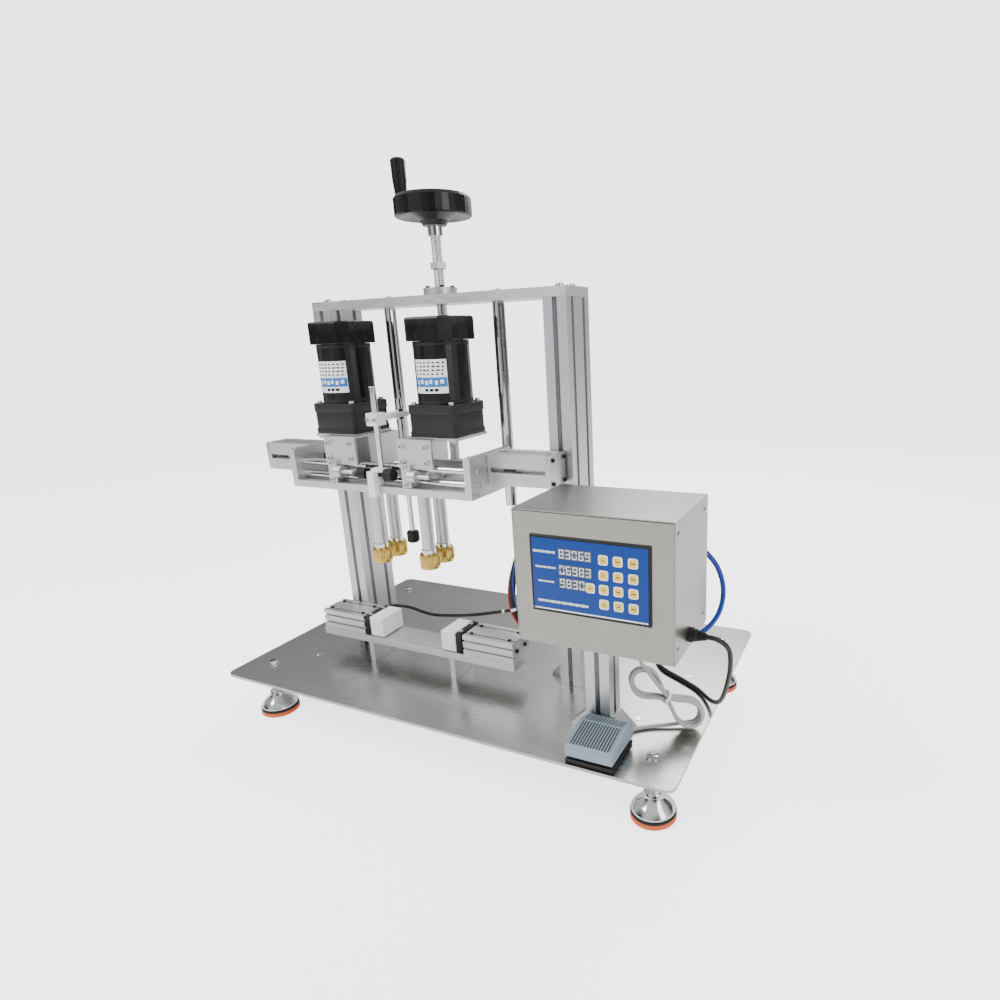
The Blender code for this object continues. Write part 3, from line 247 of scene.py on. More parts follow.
def smooth_path(points: Sequence[Point], spacing: float) -> np.ndarray:
    """Read evenly spaced points from a Catmull-Rom curve through the given points.

    Args:
        points: The points the curve passes.
        spacing: Distance between the points that are returned.

    Returns:
        Array of shape (count, 3).
    """
    knots = np.array(points, float)
    padded = np.vstack([2 * knots[0] - knots[1], knots, 2 * knots[-1] - knots[-2]])
    t = np.linspace(0, 1, 24, endpoint=False)[:, None]
    spans = []
    for k in range(len(knots) - 1):
        p0, p1, p2, p3 = padded[k : k + 4]
        spans.append(
            0.5
            * (
                2 * p1
                + (p2 - p0) * t
                + (2 * p0 - 5 * p1 + 4 * p2 - p3) * t**2
                + (3 * p1 - p0 - 3 * p2 + p3) * t**3
            )
        )
    dense = np.vstack([*spans, knots[-1:]])
    run = np.concatenate([[0], np.cumsum(np.linalg.norm(np.diff(dense, axis=0), axis=1))])
    even = np.linspace(0, run[-1], max(3, int(run[-1] / spacing) + 1))
    return np.stack([np.interp(even, run, dense[:, k]) for k in range(3)], -1)


def tube(path: np.ndarray, radius: float | np.ndarray, sides: int = 14) -> Surface:
    """Carry a circle along a path, with a frame that turns as little as it can from point to point.

    The point at path step i and angle t is p(i) + r (n cos t + b sin t), where n and b are the frame.

    Args:
        path: Array of shape (count, 3).
        radius: One radius, or one per path point.
        sides: Points round the circle.

    Returns:
        The closed surface.
    """
    ahead = np.gradient(path, axis=0)
    ahead /= np.linalg.norm(ahead, axis=1)[:, None]
    first = np.cross(ahead[0], (0.3, 0.9, 0.2))
    normals = [first / np.linalg.norm(first)]
    for direction in ahead[1:]:
        normal = normals[-1] - direction * np.dot(normals[-1], direction)
        normals.append(normal / np.linalg.norm(normal))
    normal = np.array(normals)
    across = np.cross(ahead, normal)
    turn = np.arange(sides) * TAU / sides
    reach = np.broadcast_to(np.asarray(radius, float), (len(path),))[:, None, None]
    circle = normal[:, None] * np.cos(turn)[None, :, None] + across[:, None] * np.sin(turn)[None, :, None]
    return lofted(path[:, None] + reach * circle)


def threaded(radius: float, bottom: float, top: float, pitch: float, sides: int = 20) -> Surface:
    """Make a threaded rod: at angle t and height h the radius is r - d |2 frac(h / pitch - t / 360) - 1|.

    Args:
        radius: Radius over the thread.
        bottom: Height of its lower end.
        top: Height of its upper end.
        pitch: Distance between turns of the thread.
        sides: Points round the rod.

    Returns:
        The closed surface.
    """
    depth = pitch * 0.35
    heights = np.arange(bottom, top, pitch / 4)
    turn = np.arange(sides) / sides
    wave = np.abs(2 * ((heights[:, None] / pitch - turn[None]) % 1) - 1)
    reach = radius - depth * wave
    angle = turn[None] * TAU
    level = np.broadcast_to(heights[:, None], reach.shape)
    return lofted(np.stack([reach * np.cos(angle), reach * np.sin(angle), level], -1))


def knurled(
    profile: Sequence[tuple[float, float]], teeth: int, depth: float, low: float, high: float
) -> Surface:
    """Turn a profile whose radius drops by d (1 + cos(n t)) / 2 between two heights, as fluting does.

    Args:
        profile: (radius, height) pairs from the bottom up.
        teeth: Number of flutes.
        depth: Depth of the flutes.
        low: Height where the flutes start.
        high: Height where they end.

    Returns:
        The closed surface.
    """
    pairs = np.array(profile, float)
    steps = teeth * 4
    turn = np.arange(steps) * TAU / steps
    fluted = ((pairs[:, 1] >= low) & (pairs[:, 1] <= high))[:, None]
    drop = depth * (0.5 + 0.5 * np.cos(teeth * turn))[None] * fluted
    plain = pairs[:, 0][:, None]
    radius = np.maximum(plain - drop * (plain > depth * 2), POLE)
    level = np.broadcast_to(pairs[:, 1][:, None], radius.shape)
    return lofted(np.stack([radius * np.cos(turn), radius * np.sin(turn), level], -1))


def wrapped(radius: float, proud: float, bottom: float, top: float, start: float, end: float) -> Surface:
    """Make a thin patch round a cylinder: (r cos t, r sin t, h) for t from start to end, with a thickness.

    Args:
        radius: Radius of the cylinder it lies on.
        proud: Height of its face above the cylinder.
        bottom: Lower edge.
        top: Upper edge.
        start: First angle in degrees.
        end: Last angle in degrees.

    Returns:
        The closed surface.
    """
    count = max(3, int(abs(end - start) / 4))
    turn = np.radians(np.linspace(start, end, count))
    rings = []
    for t in turn:
        out = np.array([math.cos(t), math.sin(t)])
        inner = out * (radius - 0.0003)
        outer = out * (radius + proud)
        rings.append([(*inner, bottom), (*outer, bottom), (*outer, top), (*inner, top)])
    return lofted(np.array(rings)[:, ::-1])


def cap_screw(radius: float, height: float) -> Surface:
    """Make a socket-head screw: a drum with a chamfer and a well in its top.

    Args:
        radius: Radius of the head.
        height: Height of the head.

    Returns:
        The closed surface, standing on its origin.
    """
    profile = [
        (0.0, 0.0),
        (radius, 0.0),
        (radius, height * 0.8),
        (radius * 0.88, height),
        (radius * 0.52, height),
        (radius * 0.50, height * 0.35),
        (0.0, height * 0.30),
    ]
    return turned(profile, 18)


def screw_ring(centre: Point, reach: float, level: float, size: float) -> list[Surface]:
    """Make four socket screws on a circle: screw k stands at angle 45 + 90 k degrees.

    Args:
        centre: Middle of the circle; only its X and Y are read.
        reach: Radius of the circle.
        level: Height where the heads stand.
        size: Radius and height of each head.

    Returns:
        The four screws.
    """
    return [
        cap_screw(size, size).moved(
            (centre[0] + reach * math.cos(angle), centre[1] + reach * math.sin(angle), level)
        )
        for angle in TAU * (np.arange(4) + 0.5) / 4
    ]


def hex_prism(radius: float, height: float) -> Surface:
    """Make a hexagonal nut blank: the hexagon shrinks a little at both ends, as a chamfer does.

    Args:
        radius: Radius to the corners.
        height: Height of the nut.

    Returns:
        The closed surface, standing on its origin.
    """
    profile = [(0.0, 0.0), (radius * 0.9, 0.0), (radius, height * 0.12), (radius, height * 0.88)]
    return turned([*profile, (radius * 0.9, height), (0.0, height)], 6)


GROOVE = (
    (0.0017, 0.0),
    (0.0017, 0.0014),
    (0.0030, 0.0014),
    (0.0030, 0.0044),
    (-0.0030, 0.0044),
    (-0.0030, 0.0014),
    (-0.0017, 0.0014),
    (-0.0017, 0.0),
)


def grooved_outline(width: float, height: float, top: Sequence[float], side: Sequence[float]) -> np.ndarray:
    """List a rectangle with narrow-mouthed grooves, as extruded cylinder bodies have.

    Each groove is a mouth 3.4 mm wide and 1.4 mm deep that opens into a slot 6 mm wide and 3 mm deep.

    Args:
        width: Size along the first direction, centred on 0.
        height: Size along the second direction, from 0 up.
        top: Places of the grooves in the top face, along the first direction.
        side: Heights of the grooves in the face on the low side of the first direction.

    Returns:
        Array of points, anticlockwise from the lower left corner.
    """
    half = width / 2
    points = [(-half, 0.0), (half, 0.0), (half, height)]
    for place in sorted(top, reverse=True):
        for across, deep in GROOVE:
            points.append((place + across, height - deep))
    points.append((-half, height))
    for level in sorted(side, reverse=True):
        for across, deep in GROOVE:
            points.append((-half + deep, level + across))
    return np.array(points)


# ---------------------------------------------------------------- finishes


def make_group(name: str, inputs: dict[str, float], build: Callable) -> bpy.types.ShaderNodeTree:
    """Make a shader node group with number inputs and one Mask output.

    Args:
        name: The group's name.
        inputs: Name and first value of each input.
        build: Function that adds nodes and returns the socket for Mask.

    Returns:
        The node group.
    """
    group = bpy.data.node_groups.new(name, "ShaderNodeTree")
    for label, value in inputs.items():
        socket = group.interface.new_socket(name=label, in_out="INPUT", socket_type="NodeSocketFloat")
        socket.default_value = value
    group.interface.new_socket(name="Mask", in_out="OUTPUT", socket_type="NodeSocketFloat")
    start = group.nodes.new("NodeGroupInput")
    end = group.nodes.new("NodeGroupOutput")
    group.links.new(build(group, start), end.inputs["Mask"])
    return group


def stretched_noise(group: bpy.types.ShaderNodeTree, start: bpy.types.Node) -> bpy.types.NodeSocket:
    """Add noise whose scale along X, Y and Z is given, and return its value.

    Args:
        group: The node group.
        start: The group's input node.

    Returns:
        The noise socket.
    """
    place = group.nodes.new("ShaderNodeTexCoord")
    scales = group.nodes.new("ShaderNodeCombineXYZ")
    for label in "XYZ":
        group.links.new(start.outputs[f"Scale {label}"], scales.inputs[label])
    times = group.nodes.new("ShaderNodeVectorMath")
    times.operation = "MULTIPLY"
    group.links.new(place.outputs["Object"], times.inputs[0])
    group.links.new(scales.outputs[0], times.inputs[1])
    noise = group.nodes.new("ShaderNodeTexNoise")
    noise.inputs["Scale"].default_value = 1.0
    noise.inputs["Detail"].default_value = 3.0
    group.links.new(times.outputs[0], noise.inputs["Vector"])
    return noise.outputs["Fac"]


FINE_SHARE = 0.55
BROAD_SHARE = 0.6
NOISE_SPAN = (0.3, 0.7)
BUMP_STRENGTH = 0.6
GRAIN = make_group("grain", {"Scale X": 1.0, "Scale Y": 1.0, "Scale Z": 1.0}, stretched_noise)


@dataclass(frozen=True)
class Finish:
    """One surface finish: colours, shine and a grain that is stretched along an axis."""

    name: str
    light: tuple[float, float, float]
    dark: tuple[float, float, float]
    roughness: tuple[float, float] = (0.35, 0.45)
    metallic: float = 0.0
    grain: tuple[float, float, float] = (400.0, 400.0, 400.0)
    bump: float = 0.0001
    mottle: float = 18.0
    specular: float = 0.5

    def material(self) -> bpy.types.Material:
        """Build the material at its first use.

        Returns:
            The material, the same one for every piece with this finish.
        """
        found = bpy.data.materials.get(self.name)
        if found:
            return found
        made = bpy.data.materials.new(self.name)
        made.use_nodes = True
        tree = made.node_tree
        shader = tree.nodes["Principled BSDF"]
        shader.inputs["Metallic"].default_value = self.metallic
        shader.inputs["Specular IOR Level"].default_value = self.specular
        fine = self.grain_node(tree, self.grain)
        broad = self.grain_node(tree, (self.mottle,) * 3)
        mixed = tree.nodes.new("ShaderNodeMix")
        mixed.data_type = "RGBA"
        mixed.inputs[MIX_A].default_value = (*self.dark, 1.0)
        mixed.inputs[MIX_B].default_value = (*self.light, 1.0)
        blend = tree.nodes.new("ShaderNodeMath")
        blend.operation = "MULTIPLY_ADD"
        blend.inputs[1].default_value = FINE_SHARE
        tree.links.new(fine, blend.inputs[0])
        weighed = tree.nodes.new("ShaderNodeMath")
        weighed.operation = "MULTIPLY"
        weighed.inputs[1].default_value = BROAD_SHARE
        tree.links.new(broad, weighed.inputs[0])
        tree.links.new(weighed.outputs[0], blend.inputs[2])
        tree.links.new(blend.outputs[0], mixed.inputs[0])
        tree.links.new(mixed.outputs[MIX_RESULT], shader.inputs["Base Color"])
        shine = tree.nodes.new("ShaderNodeMapRange")
        shine.inputs["From Min"].default_value = NOISE_SPAN[0]
        shine.inputs["From Max"].default_value = NOISE_SPAN[1]
        shine.inputs["To Min"].default_value = self.roughness[0]
        shine.inputs["To Max"].default_value = self.roughness[1]
        tree.links.new(fine, shine.inputs["Value"])
        tree.links.new(shine.outputs[0], shader.inputs["Roughness"])
        bump = tree.nodes.new("ShaderNodeBump")
        bump.inputs["Distance"].default_value = self.bump
        bump.inputs["Strength"].default_value = BUMP_STRENGTH
        tree.links.new(fine, bump.inputs["Height"])
        tree.links.new(bump.outputs[0], shader.inputs["Normal"])
        return made

    def grain_node(
        self, tree: bpy.types.ShaderNodeTree, scales: tuple[float, float, float]
    ) -> bpy.types.NodeSocket:
        """Place the grain group in a material.

        Args:
            tree: The material's nodes.
            scales: Scale of the noise along X, Y and Z; a low one stretches the grain that way.

        Returns:
            The group's Mask socket.
        """
        node = tree.nodes.new("ShaderNodeGroup")
        node.node_tree = GRAIN
        for label, value in zip("XYZ", scales):
            node.inputs[f"Scale {label}"].default_value = value
        return node.outputs["Mask"]


BRUSHED_PLATE = Finish(
    "brushed_plate", (0.50, 0.495, 0.48), (0.34, 0.335, 0.32), (0.24, 0.31), 1.0, (12, 900, 900), 0.000006
)
BRUSHED_BOX = Finish(
    "brushed_box", (0.36, 0.343, 0.318), (0.26, 0.248, 0.230), (0.28, 0.36), 1.0, (14, 1100, 1100), 0.000008
)
COLUMN_ALLOY = Finish(
    "column_alloy", (0.60, 0.61, 0.625), (0.46, 0.47, 0.485), (0.34, 0.46), 1.0, (700, 700, 9), 0.00003
)
CYLINDER_ALLOY = Finish(
    "cylinder_alloy", (0.66, 0.665, 0.675), (0.50, 0.505, 0.515), (0.36, 0.50), 1.0, (9, 700, 700), 0.00003
)
MILLED_ALLOY = Finish(
    "milled_alloy", (0.68, 0.68, 0.685), (0.54, 0.54, 0.545), (0.36, 0.50), 1.0, (30, 600, 600), 0.00003
)
CHROME = Finish("chrome", (0.66, 0.66, 0.67), (0.54, 0.54, 0.55), (0.05, 0.12), 1.0, (300, 300, 300), 0.00001)
TURNED_STEEL = Finish(
    "turned_steel", (0.46, 0.46, 0.465), (0.30, 0.30, 0.305), (0.24, 0.40), 1.0, (60, 60, 1500), 0.00003
)
KNURLED_BRASS = Finish(
    "knurled_brass", (0.72, 0.50, 0.14), (0.42, 0.27, 0.05), (0.22, 0.38), 1.0, (700, 700, 700), 0.00004
)
BLACK_GLOSS = Finish(
    "black_gloss",
    (0.007, 0.007, 0.008),
    (0.004, 0.004, 0.005),
    (0.20, 0.30),
    grain=(60, 60, 60),
    bump=0.00002,
    specular=0.3,
)
BLACK_CAST = Finish(
    "black_cast",
    (0.016, 0.017, 0.019),
    (0.008, 0.008, 0.009),
    (0.40, 0.52),
    grain=(520, 520, 520),
    bump=0.00008,
    specular=0.35,
)
BLACK_MATT = Finish(
    "black_matt",
    (0.012, 0.012, 0.013),
    (0.006, 0.006, 0.007),
    (0.50, 0.66),
    grain=(700, 700, 700),
    bump=0.00006,
    specular=0.3,
)
WHITE_NYLON = Finish(
    "white_nylon", (0.90, 0.89, 0.86), (0.82, 0.81, 0.78), (0.40, 0.52), 0.0, (420, 420, 420), 0.00005
)
PAD_WHITE = Finish("pad_white", (0.93, 0.93, 0.91), (0.86, 0.86, 0.84), (0.45, 0.58), 0.0)
MEMBRANE_BLUE = Finish(
    "membrane_blue",
    (0.003, 0.044, 0.27),
    (0.003, 0.036, 0.22),
    (0.34, 0.44),
    grain=(90, 90, 90),
    bump=0.00001,
    specular=0.3,
)
BEZEL_BLACK = Finish("bezel_black", (0.006, 0.006, 0.007), (0.004, 0.004, 0.005), (0.26, 0.36), specular=0.3)
KEY_YELLOW = Finish("key_yellow", (0.86, 0.56, 0.08), (0.80, 0.48, 0.06), (0.38, 0.48))
KEY_RIM = Finish("key_rim", (0.93, 0.90, 0.76), (0.88, 0.84, 0.68), (0.38, 0.48))
DIGIT_PALE = Finish("digit_pale", (0.86, 0.90, 0.92), (0.76, 0.80, 0.83), (0.35, 0.45))
WINDOW_GREY = Finish("window_grey", (0.060, 0.075, 0.105), (0.045, 0.055, 0.080), (0.25, 0.35))
WIRE_RED = Finish("wire_red", (0.62, 0.02, 0.015), (0.48, 0.012, 0.01), (0.30, 0.42))
PRINT_WHITE = Finish("print_white", (0.90, 0.92, 0.94), (0.82, 0.85, 0.88), (0.4, 0.5))
LABEL_BLUE = Finish("label_blue", (0.02, 0.17, 0.52), (0.015, 0.13, 0.43), (0.35, 0.45))
RING_ORANGE = Finish(
    "ring_orange", (0.78, 0.155, 0.03), (0.55, 0.09, 0.018), (0.45, 0.60), 0.0, (500, 500, 500), 0.0001
)
PEDAL_PAINT = Finish(
    "pedal_paint", (0.27, 0.34, 0.40), (0.22, 0.28, 0.33), (0.36, 0.50), 0.0, (600, 600, 600), 0.00014
)
HOSE_BLUE = Finish("hose_blue", (0.008, 0.045, 0.34), (0.005, 0.03, 0.24), (0.20, 0.30), specular=0.4)
CORD_GREY = Finish("cord_grey", (0.46, 0.46, 0.44), (0.36, 0.36, 0.34), (0.34, 0.46))
CORD_BLACK = Finish("cord_black", (0.008, 0.008, 0.009), (0.005, 0.005, 0.006), (0.30, 0.42), specular=0.35)
TIE_WHITE = Finish("tie_white", (0.92, 0.92, 0.90), (0.86, 0.86, 0.84), (0.35, 0.45))
FLOOR_PALE = Finish("floor_pale", (0.93, 0.93, 0.93), (0.91, 0.91, 0.91), (0.8, 0.9))


def middle_of(node: str) -> tuple[float, float, float]:
    """Work out the middle of a CAD node's box.

    Args:
        node: The node's name.

    Returns:
        The middle.
    """
    low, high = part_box(node)
    return ((low.x + high.x) / 2, (low.y + high.y) / 2, (low.z + high.z) / 2)


def upright_through(node: str) -> tuple[float, float, float]:
    """Work out where the upright line through the middle of a CAD node's box meets the floor.

    Args:
        node: The node's name.

    Returns:
        The point on the floor.
    """
    x, y, _ = middle_of(node)
    return (x, y, 0.0)


def dress(nodes: Sequence[str], finish: Finish) -> None:
    """Give CAD nodes a finish.

    Args:
        nodes: Names of the nodes.
        finish: The finish they get.
    """
    for name in nodes:
        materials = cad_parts[name].data.materials
        materials.clear()
        materials.append(finish.material())


def piece(
    name: str, surface: Surface, finish: Finish, body: Body, sharp: float = 35.0
) -> bpy.types.Object:
    """Put a surface in the scene as one piece that rides on a body.

    Args:
        name: The piece's name.
        surface: Its shape, in the frame's metres.
        finish: Its finish.
        body: The body it moves with.
        sharp: Angle in degrees above which an edge stays sharp.

    Returns:
        The new object.
    """
    mesh = bpy.data.meshes.new(name)
    mesh.from_pydata(surface.points.tolist(), [], surface.faces)
    mesh.update()
    mesh.materials.append(finish.material())
    mesh.shade_smooth()
    mesh.set_sharp_from_angle(angle=math.radians(sharp))
    made = bpy.data.objects.new(name, mesh)
    bpy.context.scene.collection.objects.link(made)
    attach(made, body.value)
    LOG.info("made %s with %d faces", name, len(surface.faces))
    return made


# ---------------------------------------------------------------- sub-assemblies


@dataclass
class Cords:
    """The hoses, the mains lead with its coil, the pedal's cord with its hank, and the wire loom."""

    coil_centre: tuple[float, float] = (0.235, 0.158)
    lead_radius: float = 0.0035
    turn_radii: tuple[float, float] = (0.0435, 0.0355)
    layer_heights: tuple[float, ...] = (0.1040, 0.1113, 0.1186)
    entry_radius: float = 0.051
    step_turns: tuple[float, ...] = (0.0, 0.35, 0.95, 1.15, 1.95, 2.15, 2.95, 3.15, 3.95, 4.15, 4.50)
    lead_route: tuple[Point, ...] = (
        (0.4638, -0.193, 0.300),
        (0.470, -0.193, 0.300),
        (0.480, -0.190, 0.296),
        (0.490, -0.181, 0.281),
        (0.490, -0.168, 0.252),
        (0.482, -0.146, 0.212),
        (0.468, -0.114, 0.166),
        (0.450, -0.074, 0.131),
        (0.427, -0.034, 0.1095),
        (0.400, -0.002, 0.1043),
        (0.363, 0.022, 0.1040),
        (0.320, 0.048, 0.1040),
        (0.296, 0.084, 0.1040),
        (0.2875, 0.122, 0.1040),
        (0.2860, 0.158, 0.1040),
    )
    air_route: tuple[Point, ...] = (
        (0.412, -0.1067, 0.392),
        (0.412, -0.086, 0.390),
        (0.425, -0.066, 0.376),
        (0.443, -0.056, 0.348),
        (0.452, -0.056, 0.312),
        (0.447, -0.066, 0.277),
        (0.428, -0.080, 0.252),
        (0.398, -0.092, 0.240),
        (0.362, -0.102, 0.235),
        (0.325, -0.111, 0.237),
        (0.294, -0.118, 0.246),
        (0.272, -0.122, 0.261),
        (0.264, -0.123, 0.272),
        (0.264, -0.123, 0.2820),
    )
    clamp_route: tuple[Point, ...] = (
        (-0.2360, -0.0665, 0.177),
        (-0.2360, -0.0530, 0.177),
        (-0.2290, -0.0340, 0.176),
        (-0.2110, -0.0240, 0.175),
        (-0.1830, -0.0250, 0.175),
        (-0.1500, -0.0330, 0.175),
        (-0.1150, -0.0420, 0.178),
        (-0.0750, -0.0500, 0.186),
        (-0.0350, -0.0560, 0.195),
        (0.005, -0.0620, 0.206),
        (0.050, -0.0620, 0.218),
        (0.095, -0.0620, 0.230),
        (0.140, -0.0680, 0.241),
        (0.180, -0.0790, 0.249),
        (0.212, -0.0920, 0.253),
        (0.234, -0.1080, 0.261),
        (0.240, -0.1150, 0.273),
        (0.240, -0.1150, 0.2820),
    )
    loom_route: tuple[Point, ...] = (
        (0.1692, -0.040, 0.428),
        (0.160, -0.040, 0.428),
        (0.148, -0.043, 0.420),
        (0.133, -0.050, 0.400),
        (0.116, -0.064, 0.365),
        (0.103, -0.080, 0.325),
        (0.097, -0.089, 0.280),
        (0.103, -0.094, 0.240),
        (0.128, -0.099, 0.215),
        (0.162, -0.104, 0.212),
        (0.193, -0.110, 0.226),
        (0.212, -0.1145, 0.250),
        (0.219, -0.116, 0.270),
        (0.219, -0.116, 0.2820),
    )
    pedal_route: tuple[Point, ...] = (
        (0.335, -0.1807, 0.1040),
        (0.335, -0.1680, 0.1035),
        (0.339, -0.1550, 0.1033),
        (0.351, -0.1430, 0.1033),
        (0.368, -0.1320, 0.1036),
        (0.384, -0.1235, 0.1045),
    )
    riser_route: tuple[Point, ...] = (
        (0.3570, -0.1380, 0.2020),
        (0.3490, -0.1420, 0.2180),
        (0.3455, -0.1440, 0.2400),
        (0.3450, -0.1445, 0.2620),
        (0.3450, -0.1445, 0.2820),
    )
    hank_tie: Point = (0.3835, -0.1225, 0.1530)
    hank_along: Point = (0.791, 0.199, -0.577)
    hank_across: Point = (-0.445, -0.458, -0.770)
    hank_size: tuple[float, float] = (0.064, 0.033)
    hank_waist: tuple[float, float] = (0.0034, 0.032)
    hank_pitch: float = 0.0063
    tie_half: tuple[float, float] = (0.0080, 0.0178)
    tie_width: float = 0.0044
    tie_thick: float = 0.0008
    air_radius: float = 0.004
    clamp_radius: float = 0.003
    loom_radius: float = 0.006
    spacing: float = 0.005
    wire_radius: float = 0.0012
    wire_turn: float = 7.0
    pedal_radius: float = 0.003
    to_plug: tuple[Point, ...] = (
        (0.1915, 0.1440, 0.1178),
        (0.1915, 0.1300, 0.1145),
        (0.1915, 0.1175, 0.1120),
    )
    plug_length: float = 0.033
    pins: tuple[tuple[float, float], ...] = ((0.0, 0.006), (-0.0065, -0.004), (0.0065, -0.004))

    def coil_path(self) -> np.ndarray:
        """Work out the mains lead's coil.

        The point at turn t is c + r(t) (cos, sin) at height h(t): the cord runs outside then inside on the
        bottom layer, inside then outside on the next, and outside on the top one, with smooth steps.

        Returns:
            The coil's points.
        """
        outer, inner = self.turn_radii
        marks = np.array(self.step_turns)
        low, middle, high = self.layer_heights
        radii = [self.entry_radius, *[outer] * 2, *[inner] * 4, *[outer] * 4]
        heights = [low, low, low, low, low, middle, middle, middle, middle, high, high]
        turns = np.linspace(0, marks[-1], int(marks[-1] * 40))
        ease = np.interp(turns, marks, np.arange(len(marks)))
        whole = np.minimum(ease.astype(int), len(marks) - 2)
        share = ease - whole
        share = share * share * (3 - 2 * share)
        radius = np.take(radii, whole) * (1 - share) + np.take(radii, whole + 1) * share
        height = np.take(heights, whole) * (1 - share) + np.take(heights, whole + 1) * share
        x = self.coil_centre[0] + radius * np.cos(turns * TAU)
        y = self.coil_centre[1] + radius * np.sin(turns * TAU)
        return np.stack([x, y, height], -1)

    def hank_axes(self) -> np.ndarray:
        """Work out the hank's own directions from its long and cross ones, at right angles to each other.

        Returns:
            Array whose rows are the long, cross and depth directions.
        """
        across = np.array(self.hank_across) / np.linalg.norm(self.hank_across)
        depth = np.cross(self.hank_along, across)
        depth /= np.linalg.norm(depth)
        return np.stack([np.cross(across, depth), across, depth])

    def hank_path(self, start: float = 0.80, end: float = 9.62) -> np.ndarray:
        """Work out the tied hank.

        At phase s the point is tie - a L cos s + b W sin s (1 - p exp(-(u / c)^2)) + n h(s): an oval that is
        pinched at the tie, whose turns lie behind each other and swell and shrink a little in turn.

        Args:
            start: First phase, in half turns.
            end: Last phase, in half turns.

        Returns:
            The hank's points, from the pedal's end to the box's end.
        """
        phase = np.linspace(start, end, int((end - start) * 44)) * math.pi
        swell = 1 - 0.11 * (0.5 - 0.5 * np.cos(phase / 2 + 0.6))
        length, width = self.hank_size
        waist, reach = self.hank_waist
        along = -length * np.cos(phase) * (0.5 + 0.5 * swell)
        pinch = (1 - waist / (width * swell)) * np.exp(-((along / reach) ** 2))
        across = width * swell * np.sin(phase) * (1 - pinch)
        deep = (0.5 - (phase - phase[0]) / (phase[-1] - phase[0])) * self.hank_pitch * (end - start) / 2
        return np.stack([along, across, deep], -1) @ self.hank_axes() + np.array(self.hank_tie)

    def add(
        self,
        name: str,
        path: np.ndarray,
        radius: float,
        finish: Finish,
        nodes: Sequence[str],
        far_end: str = "object",
        lay: str = "loose",
        with_pieces: Sequence[bpy.types.Object] = (),
    ) -> bpy.types.Object:
        """Args:
            name: The piece's name.
            path: The points it follows.
            radius: Its radius.
            finish: Its finish.
            nodes: The CAD solids it stands for.
            far_end: What is on its far end; not used.
            lay: How it lies; not used.
            with_pieces: Pieces that sit on it; not used.

        Returns:
            The cord.
        """
        made = piece(name, tube(path, radius, 12), finish, Body.FRAME, 60)
        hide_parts(*nodes)
        return made

    def build(self) -> None:
        """Make every cord and the small pieces on them."""
        lead = smooth_path(self.lead_route, 0.006)
        path = np.vstack([lead[:-1], self.coil_path()])
        path = np.vstack([path, smooth_path([path[-1], *self.to_plug], 0.004)[1:]])
        plug = self.plug()
        self.add(
            "mains_lead",
            path,
            self.lead_radius,
            CORD_BLACK,
            ["power_lead", "power_lead_coil"],
            "plug",
            "coiled",
            [plug, self.strain_relief()],
        )
        air = smooth_path(self.air_route, self.spacing)
        self.add("air_line", air, self.air_radius, HOSE_BLUE, ["air_hose"])
        clamp = smooth_path(self.clamp_route, self.spacing)
        self.add("clamp_line", clamp, self.clamp_radius, CORD_BLACK, ["clamp_hose"])
        loom = smooth_path(self.loom_route, self.spacing)
        wires = [
            self.wire("wire_red", loom, 0.4, WIRE_RED),
            self.wire("wire_blue", loom, 2.5, HOSE_BLUE),
            self.wire("wire_pale", loom, 4.6, CORD_GREY),
        ]
        self.add("loom_sleeve", loom, self.loom_radius, CORD_BLACK, ["wire_loom"], with_pieces=wires)
        self.ties(clamp, loom)
        hank = self.hank_path()
        start = [*self.pedal_route, *hank[3:9:2]]
        finish = [*hank[-9:-3:2], *self.riser_route]
        whole = np.vstack([smooth_path(start, self.spacing), hank[9:-9], smooth_path(finish, self.spacing)])
        stands_for = ["pedal_cord", "pedal_cord_hank"]
        tie = self.hank_tie_band()
        self.add("pedal_lead", whole, self.pedal_radius, CORD_GREY, stands_for, with_pieces=[tie])

    def hank_tie_band(self) -> bpy.types.Object:
        """Wind the hank's tie: a flat band round its waist, a rounded box (w |cos t|^0.6, h |sin t|^0.6).

        Returns:
            The tie.
        """
        turn = np.linspace(0, TAU, 40, endpoint=False)
        half_width, half_depth = self.tie_half
        edge = self.tie_width / 2
        rings = []
        for along, grow in ((-edge, 0.0), (-edge, self.tie_thick), (edge, self.tie_thick), (edge, 0.0)):
            across = (half_width + grow) * np.sign(np.cos(turn)) * np.abs(np.cos(turn)) ** 0.6
            deep = (half_depth + grow) * np.sign(np.sin(turn)) * np.abs(np.sin(turn)) ** 0.6
            rings.append(np.stack([np.full(len(turn), along), across, deep], -1))
        points = np.array(rings) @ self.hank_axes() + np.array(self.hank_tie)
        return piece("hank_tie", lofted(points, True), TIE_WHITE, Body.FRAME)

    def plug(self) -> bpy.types.Object:
        """Make the plug: a stepped grip that widens to a flange, and three flat pins.

        Returns:
            The plug's body.
        """
        low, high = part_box("power_plug")
        middle = ((low.x + high.x) / 2, high.y, (low.z + high.z) / 2)
        rings = []
        for along, width, height in (
            (0.0, 0.010, 0.010),
            (0.008, 0.012, 0.012),
            (0.014, 0.020, 0.017),
            (0.026, 0.024, 0.021),
            (0.028, 0.0255, 0.0215),
            (self.plug_length, 0.0255, 0.0215),
        ):
            flat = rounded_outline(width, height, min(width, height) * 0.3)
            rings.append(np.column_stack([flat, np.full(len(flat), along)]))
        grip = lofted(np.array(rings)).moved(middle, Axis.FRONT)
        made = piece("plug_body", grip, BLACK_MATT, Body.FRAME)
        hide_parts("power_plug")
        face = high.y - self.plug_length
        pins = []
        for across, level in self.pins:
            x, z = middle[0] + across, middle[2] + level
            pins.append(block((x - 0.003, face - 0.0128, z - 0.0008), (x + 0.003, face + 0.001, z + 0.0008)))
        piece("plug_pins", joined(pins), CHROME, Body.FRAME)
        return made

